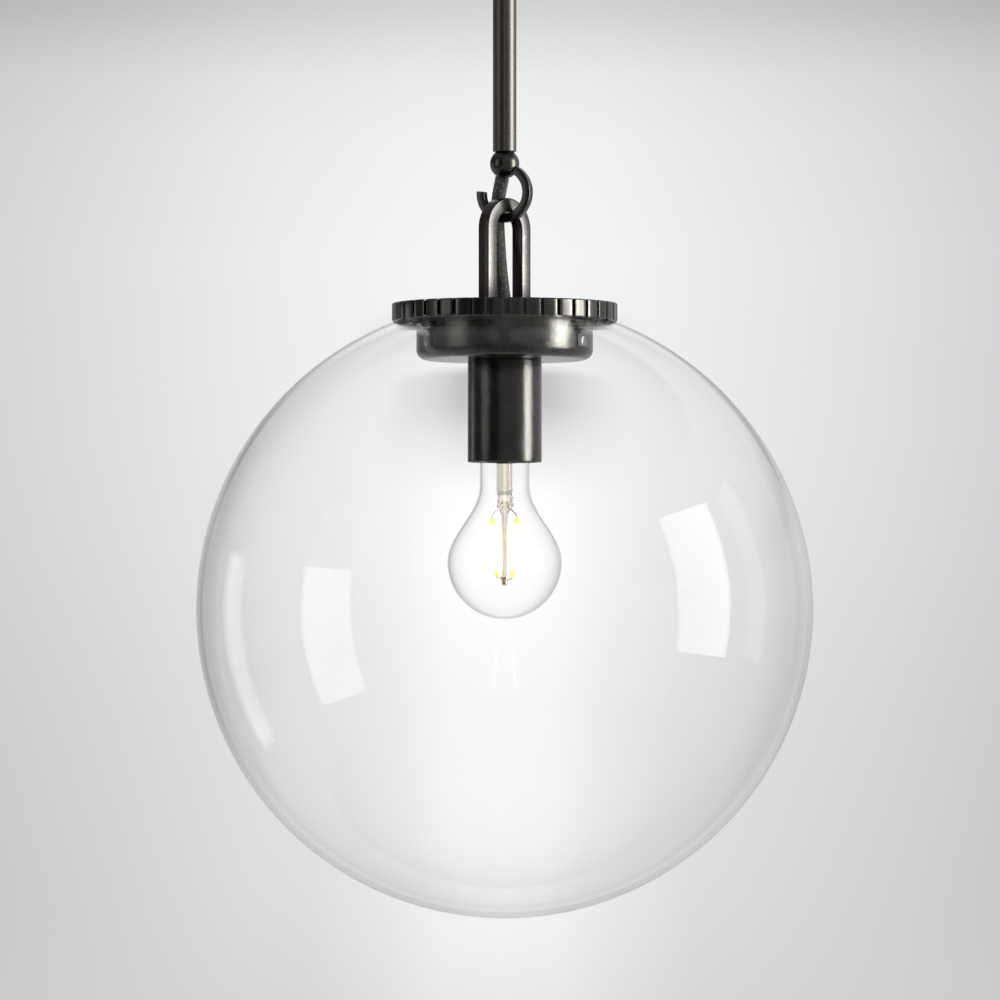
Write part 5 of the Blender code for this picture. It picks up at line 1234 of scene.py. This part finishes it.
for number in range(1, 5):
    low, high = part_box(f"filament_{number}")
    out = Vector(((low[0] + high[0]) / 2.0, (low[1] + high[1]) / 2.0, 0.0)).normalized()
    top = out * STRIP_TOP_REACH + UP * high[2]
    foot_point = out * STRIP_FOOT_REACH + UP * low[2]
    strip = tube(f"glow_strip_{number}", [top.lerp(foot_point, step / 12.0) for step in range(13)],
                 STRIP_RADIUS, 24)
    deliver(strip, glow, "bulb", "filament", f"filament_{number}", smooth=60.0)
    wire_route = [foot_point + (top - foot_point) * 0.02, foot_point - UP * 1.0 * MM,
                  out * 3.5 * MM + UP * (low[2] - 1.6 * MM), out * 1.8 * MM + UP * (low[2] - 2.4 * MM)]
    wire = tube(f"hub_wire_{number}", smooth_route(wire_route, 0.4 * MM), WIRE_RADIUS, 10)
    deliver(wire, glow_warmed_wire, "bulb", "plated_steel", smooth=60.0)
    upper_route = [top - (top - foot_point) * 0.02, top + UP * 1.2 * MM,
                   out * 7.0 * MM + UP * (high[2] + 4.0 * MM),
                   out * 3.4 * MM + UP * (PINCH_LOW + 2.6 * MM),
                   out * 1.6 * MM + UP * (PINCH_LOW + 6.0 * MM)]
    wire = tube(f"lead_wire_{number}", smooth_route(upper_route, 0.5 * MM), WIRE_RADIUS, 10)
    deliver(wire, glow_warmed_wire, "bulb", "plated_steel", smooth=60.0)
radius, low, high = size_of("filament_hub")
hub = turned("strip_hub", [(0.0, low), (1.2 * MM, low), (1.5 * MM, low + 0.6 * MM),
                           (1.6 * MM, low + 2.4 * MM), (radius, low + 3.0 * MM),
                           (radius, high - 0.3 * MM),
                           (radius - 0.3 * MM, high), (0.0, high)], 32, False)
deliver(hub, glow_warmed_wire, "bulb", "plated_steel", "filament_hub")

# %% [markdown]
# ## Canopy
# The canopy is a shallow spun dish that hides the electrical box. It hangs on two long screws from
# a steel strap, with a domed nut under each. In its centre a flanged seat holds the swivel ball.

# %% Dish and seat
DISH_RADIUS, DISH_LOW, DISH_HIGH = size_of("canopy_dish")
wall, fillet, hole = 1.2 * MM, 9.0 * MM, 15.8 * MM
dish = turned("canopy", [
    (DISH_RADIUS, DISH_HIGH), *bend(DISH_RADIUS - fillet, DISH_LOW + fillet, fillet, 0, -90, 20),
    (hole, DISH_LOW), (hole, DISH_LOW + wall),
    *bend(DISH_RADIUS - fillet, DISH_LOW + fillet, fillet - wall, -90, 0, 20),
    (DISH_RADIUS - wall, DISH_HIGH)], 160)
SCREW_X, SCREW_HOLE = 45.0 * MM, 2.3 * MM
for side in (-1, 1):
    drill(dish, SCREW_HOLE, (side * SCREW_X, 0.0, DISH_LOW - MM),
          (side * SCREW_X, 0.0, DISH_LOW + 2 * MM))
deliver(break_edges(dish, 0.15 * MM), bronze_turned, "canopy", "blackened_bronze", "canopy_dish")

SWIVEL_Z, BALL_SEAT, SEAT_OUTER = -0.025, 12.3 * MM, 15.5 * MM
radius, low, high = size_of("swivel_seat")
mouth = math.degrees(math.asin((SWIVEL_Z - low) / BALL_SEAT))
seat = turned("swivel_ring", [
    (radius, high), (radius, high - 2.0 * MM), (SEAT_OUTER, high - 2.0 * MM),
    *bend(SEAT_OUTER - 4.0 * MM, low + 4.0 * MM, 4.0 * MM, 0, -90, 10),
    *bend(0.0, SWIVEL_Z, BALL_SEAT, -mouth, 0.0, 16), (BALL_SEAT, high)], 96)
deliver(break_edges(seat, 0.12 * MM), bronze_turned, "canopy", "blackened_bronze", "swivel_seat")

radius, low, high = size_of("swivel_ball")
neck, bore = 5.0 * MM, 4.3 * MM
ball_top = math.degrees(math.acos(bore / radius))
neck_angle = math.degrees(math.acos(neck / radius))
swivel = turned("swivel", [*bend(0.0, SWIVEL_Z, radius, ball_top, -neck_angle, 36), (neck, low),
                           (bore, low)], 72)
deliver(swivel, zinc_turned, "stem", "plated_steel", "swivel_ball")

# %% Strap
low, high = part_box("mounting_strap")
strap = new_primitive("strap", bpy.ops.mesh.primitive_cube_add, size=1.0,
                      location=[(low[axis] + high[axis]) / 2.0 for axis in range(3)],
                      scale=[high[axis] - low[axis] for axis in range(3)])
close_up(strap)
edit(strap)
bpy.ops.mesh.select_mode(type="EDGE")
bpy.ops.mesh.select_all(action="DESELECT")
bpy.ops.object.mode_set(mode="OBJECT")
for side in strap.data.edges:
    ends = [strap.data.vertices[index].co for index in side.vertices]
    side.select = abs(ends[0].z - ends[1].z) > 1.0 * MM
bpy.ops.object.mode_set(mode="EDIT")
bpy.ops.mesh.bevel(offset=3.0 * MM, segments=6, affect="EDGES")
only(strap)

# %% Slots and holes of the strap
SLOT_X, SLOT_REACH = 34.925 * MM, 2.2 * MM
GROUND_SPOT, GROUND_HOLE = (22.0 * MM, 5.5 * MM), 1.8 * MM
BELOW_STRAP, ABOVE_STRAP = -4.0 * MM, 2.0 * MM


def drill_strap(x, y, radius):
    """Drill straight down through the strap."""
    drill(strap, radius, (x, y, BELOW_STRAP), (x, y, ABOVE_STRAP))


for side in (-1, 1):
    middle = side * SLOT_X
    for end in (-1, 1):
        drill_strap(middle + end * SLOT_REACH, 0.0, SCREW_HOLE)
    bar = new_primitive("slot", bpy.ops.mesh.primitive_cube_add, size=1.0,
                        location=(middle, 0.0, -1.0 * MM),
                        scale=(2.0 * SLOT_REACH, 2.0 * SCREW_HOLE, 6.0 * MM))
    carve(strap, close_up(bar))
    drill_strap(side * SCREW_X, 0.0, SCREW_HOLE)
drill_strap(*GROUND_SPOT, GROUND_HOLE)
deliver(break_edges(strap, 0.2 * MM, 2, 50.0), zinc, "canopy", "plated_steel", "mounting_strap",
        smooth=30.0)

# %% Screws and nuts of the canopy
BLIND_END_Z = -28.7 * MM
FASTENER_TOP_Z = -2.3 * MM
for number, side in enumerate((-1, 1), start=1):
    spot = (side * SCREW_X, 0.0)
    _, low, high = size_of(f"canopy_screw_{number}")
    screw = threaded_rod(f"long_screw_{number}", 2.0 * MM, 0.75 * MM, low, high, spot, steps=24)
    nut = hex_nut("nut", 7.0 * MM, 1.9 * MM, -4.8 * MM, FASTENER_TOP_Z, spot)
    carve(screw, nut, "UNION")
    deliver(screw, zinc, "canopy", "plated_steel", f"canopy_screw_{number}")
    radius, low, high = size_of(f"cap_nut_{number}")
    dome = turned(f"domed_nut_{number}", [
        (0.0, low), *bend(0.0, low + 3.2 * MM, 3.2 * MM, -82, -5, 12), (3.3 * MM, low + 3.6 * MM),
        (radius - 0.5 * MM, low + 4.0 * MM), (radius, low + 4.5 * MM), (radius, high - 0.4 * MM),
        (radius - 0.4 * MM, high), (SCREW_HOLE, high), (SCREW_HOLE, BLIND_END_Z),
        (0.0, BLIND_END_Z)],
        48, False, spot)
    deliver(dome, bronze_turned, "canopy", "blackened_bronze", f"cap_nut_{number}")
_, low, high = size_of("ground_screw")
ground = slotted_screw("ground_screw_head", 3.0 * MM, 1.5 * MM, high, FASTENER_TOP_Z, low,
                       GROUND_SPOT, 0.7)
deliver(ground, green_screw, "canopy", "lead_green", "ground_screw")

# %% [markdown]
# ### Supply leads
# Three leads leave the end of the cord above the swivel, and each ends in a twist-on connector: a
# hollow plastic cone with ribs for the fingers. One connector is made upright, with its ribs as
# small waves round its side, and turned to the end of each lead.

# %% Leads and connectors
CORD_TOP = UP * (SWIVEL_Z + 13.0 * MM)
CONNECTOR_SHAPE = ((0.0, 0.0), (2.6, 0.0), (3.2, 0.25), (3.5, 1.2), (3.5, 4.0), (3.1, 6.5),
                   (2.6, 10.0), (2.2, 13.0), (1.6, 13.8), (0.0, 14.0))
RIBS = 12.0
LEAD_STEPS = ((0.0, 0.0), (0.4, 1.4), (2.2, 2.8), (6.0, 2.9), (11.0, 1.6), (16.0, 0.6))
LEADS = (("live", black_lead, "lead_black", 90.0, 90.0),
         ("neutral", white_lead, "lead_white", 210.0, 250.0),
         ("ground", green_lead, "lead_green", 330.0, 290.0))


def compass(degrees):
    """The level direction at an angle."""
    return Vector((math.cos(math.radians(degrees)), math.sin(math.radians(degrees)), 0.0))


def connector(name, place, heading):
    """A ribbed twist-on connector, pointing along a heading."""
    piece = turned(name, [(r * MM, z * MM) for r, z in CONNECTOR_SHAPE], 96, False)
    for vertex in piece.data.vertices:
        if 1.0 * MM < vertex.co.z < 13.2 * MM:
            angle = math.atan2(vertex.co.y, vertex.co.x)
            shrink = 1.0 - 0.05 * (0.5 - 0.5 * math.cos(RIBS * angle))
            vertex.co.x *= shrink
            vertex.co.y *= shrink
    turn = UP.rotation_difference(heading).to_matrix().to_4x4()
    piece.matrix_world = Matrix.Translation(place) @ turn
    only(piece)
    bpy.ops.object.transform_apply(location=True, rotation=True, scale=True)
    return piece


for number, (word, material, slot, root, heading) in enumerate(LEADS, start=1):
    out = compass(heading)
    start = CORD_TOP + UP * 0.3 * MM + compass(root) * 1.6 * MM
    route = [start + out * reach * MM + UP * rise * MM for reach, rise in LEAD_STEPS]
    lead(f"supply_{word}", f"lead_{word}", "stem", route, material, slot)
    end_heading = (route[-1] - route[-2]).normalized()
    cone = connector(f"connector_{word}", route[-1] + end_heading * 0.3 * MM, end_heading)
    deliver(cone, connector_plastic, "stem", "connector_plastic", f"wire_connector_{number}")

# %% [markdown]
# ## Backdrop and lights
# Glass and dark metal are lit by what they reflect, so the lamp hangs in a large round tent of pale
# paper with a level floor. The paper glows softly, brightest behind the lamp. One tall soft light
# on the right draws the long highlights on the metal and the bright panes on the globe. A narrow
# one behind on the left draws the globe's edge, and a weak wide one fills the metal's left side.
# The fill stands far enough round that it is not seen through the globe from the right.

# %% Tent
FLOOR_Z, TENT_RADIUS, TENT_TOP = -1.75, 7.0, 5.5
FLOOR_RADIUS, COVE_RADIUS = 4.8, 2.2
GLOW = 0.185
DARK_SIDE = 0.60
SHADE = 0.38
FAR_LEFT = 0.85
cove = bend(FLOOR_RADIUS, FLOOR_Z + COVE_RADIUS, COVE_RADIUS, -90, 0, 16)[1:]
tent = line("tent", [(0.0, 0.0, FLOOR_Z), (FLOOR_RADIUS, 0.0, FLOOR_Z),
                     *[(r, 0.0, z) for r, z in cove], (TENT_RADIUS, 0.0, TENT_TOP)])
bpy.ops.mesh.select_all(action="SELECT")
bpy.ops.mesh.spin(steps=96, angle=TURN, center=(0.0, 0.0, 0.0), axis=UP)
close_up(tent)
edit(tent)
bpy.ops.mesh.normals_make_consistent(inside=True)
only(tent)
bpy.ops.object.shade_smooth()

# %% [markdown]
# ### Paper of the tent
# The paper is a plain glow, so its light is drawn with ramps over its height and its width: paler
# round the lamp, with a bright column behind it and a soft shade behind the collar. What the lamp
# mirrors is kept darker in front and far left, so that the metal reads as dark.

# %% Levels of the paper
def rising(tree, value, low, high, to_high=1.0, kind="LINEAR"):
    """Zero at one value, and the target at another."""
    node = add(tree, "ShaderNodeMapRange", {"Value": value, "From Min": low, "From Max": high,
                                            "To Min": 0.0, "To Max": to_high},
               interpolation_type=kind)
    return node.outputs[0]


paper, tree, shader, place = new_material(
    "pale_paper", Roughness=1.0, Base_Color=(0.0, 0.0, 0.0, 1.0), Specular_IOR_Level=0.0,
    Emission_Strength=0.925)
where = add(tree, "ShaderNodeSeparateXYZ", {0: place})
tall = rising(tree, where.outputs[2], -1.8, 0.8)
upright = ramp(tree, tall, (0.0, 0.80), (0.19, 0.81), (0.31, 0.86), (0.42, 0.90),
               (0.545, 0.96), (0.63, 0.985), (0.78, 1.0), (0.87, 0.97), (0.923, 0.92), (0.956, 0.81),
               (0.972, 0.75), (0.985, 0.71), (1.0, 0.68))
wide = rising(tree, where.outputs[0], -1.1, 1.1)
sides = ramp(tree, wide, (0.0, 0.72), (0.05, 0.75), (0.155, 0.82), (0.28, 0.92),
             (0.42, 0.985), (0.5, 1.0), (0.60, 0.975), (0.735, 0.89), (0.86, 0.81), (0.96, 0.735),
             (1.0, 0.72))
near_floor = rising(tree, where.outputs[2], -1.6, -1.0, kind="SMOOTHSTEP")
level = blend_colours(tree, near_floor, (0.86, 0.86, 0.86), sides)
column = ramp(tree, wide, (0.33, 0.0), (0.40, 0.40), (0.45, 0.95), (0.50, 1.0),
              (0.55, 0.95), (0.60, 0.40), (0.67, 0.0))
reach = ramp(tree, tall, (0.0, 0.6), (0.20, 0.90), (0.34, 1.0), (0.42, 0.8), (0.49, 0.9),
             (0.534, 1.0), (0.60, 0.75), (0.66, 0.15), (0.70, 0.0))
glow_share = calc(tree, "MULTIPLY", calc(tree, "MULTIPLY", column, reach), GLOW)
flat_spot = add(tree, "ShaderNodeCombineXYZ", {0: where.outputs[0], 1: where.outputs[1]})
toward = add(tree, "ShaderNodeVectorMath", {0: flat_spot.outputs[0]}, operation="NORMALIZE")
toward_y = add(tree, "ShaderNodeSeparateXYZ", {0: toward.outputs[0]}).outputs[1]
front = rising(tree, toward_y, 0.1, -0.85, DARK_SIDE, "SMOOTHSTEP")
overhead = rising(tree, where.outputs[2], 1.0, 2.0)
far_left = rising(tree, where.outputs[0], -1.3, -4.5, FAR_LEFT)
bounced = calc(tree, "GREATER_THAN", add(tree, "ShaderNodeLightPath").outputs["Glossy Depth"], 0.5)
narrow = ramp(tree, wide, (0.36, 0.0), (0.40, 0.35), (0.43, 0.6), (0.455, 1.0),
              (0.55, 1.0), (0.575, 0.65), (0.60, 0.35), (0.64, 0.0))
band = ramp(tree, tall, (0.59, 0.0), (0.63, 0.35), (0.655, 0.6), (0.68, 1.0), (0.718, 1.0),
            (0.735, 0.0))
shade = calc(tree, "MULTIPLY", calc(tree, "MULTIPLY", narrow, band), SHADE)
seen = calc(tree, "ADD", calc(tree, "SUBTRACT", calc(tree, "ADD", glow_share, 1.0), shade),
            overhead)
kept = calc(tree, "SUBTRACT", 1.0, calc(tree, "MULTIPLY", bounced, calc(
    tree, "ADD", front, far_left, clamp=True)), clamp=True)
gain = calc(tree, "MULTIPLY", seen, kept)
tinted = add(tree, "ShaderNodeMix", {0: 1.0}, data_type="RGBA", blend_type="MULTIPLY")
tree.links.new(upright, tinted.inputs[6])
tree.links.new(level, tinted.inputs[7])
cooled = add(tree, "ShaderNodeMix", {0: 1.0}, data_type="RGBA", blend_type="MULTIPLY")
tree.links.new(tinted.outputs[2], cooled.inputs[6])
cooled.inputs[7].default_value = (0.985, 0.995, 1.012, 1.0)
lit = add(tree, "ShaderNodeVectorMath", {0: cooled.outputs[2]}, operation="SCALE")
tree.links.new(gain, lit.inputs["Scale"])
tree.links.new(lit.outputs[0], shader.inputs["Emission Color"])
tent.data.materials.append(paper)

# %% Lights
def soft_light(name, azimuth, elevation, distance, width, height, radiance):
    """A flat soft light that faces the lamp; azimuth is from the front towards the right."""
    data = bpy.data.lights.new(name, "AREA")
    data.shape = "RECTANGLE"
    data.size, data.size_y = width, height
    data.energy = radiance * math.pi * width * height
    light = bpy.data.objects.new(name, data)
    a, e = math.radians(azimuth), math.radians(elevation)
    back = Vector((math.sin(a) * math.cos(e), -math.cos(a) * math.cos(e), math.sin(e)))
    light.location = Vector((0.0, 0.0, GLOBE_CENTRE_Z)) + back * distance
    light.rotation_euler = back.to_track_quat("Z", "Y").to_euler()
    bpy.context.scene.collection.objects.link(light)
    return light


LIGHTS = (("key_right", 77.0, 8.0, 2.6, 1.10, 1.95, 13.0),
          ("rim_left", -119.0, -9.0, 2.8, 0.62, 1.9, 1.25),
          ("fill_left", -64.0, 12.0, 3.0, 1.3, 2.2, 1.0))
CEILING_TONE = (0.25, 0.255, 0.26, 1.0)
for values in LIGHTS:
    print("light:", soft_light(*values).name)
world = bpy.data.worlds.new("ceiling")
bpy.context.scene.world = world
world.use_nodes = True
world.node_tree.nodes["Background"].inputs[0].default_value = CEILING_TONE
world.node_tree.nodes["Background"].inputs[1].default_value = 1.0
bpy.context.scene.view_settings.view_transform = "Standard"

# %% [markdown]
# ## Finish
# The last step leaves nothing selected.

# %% Finish
only()
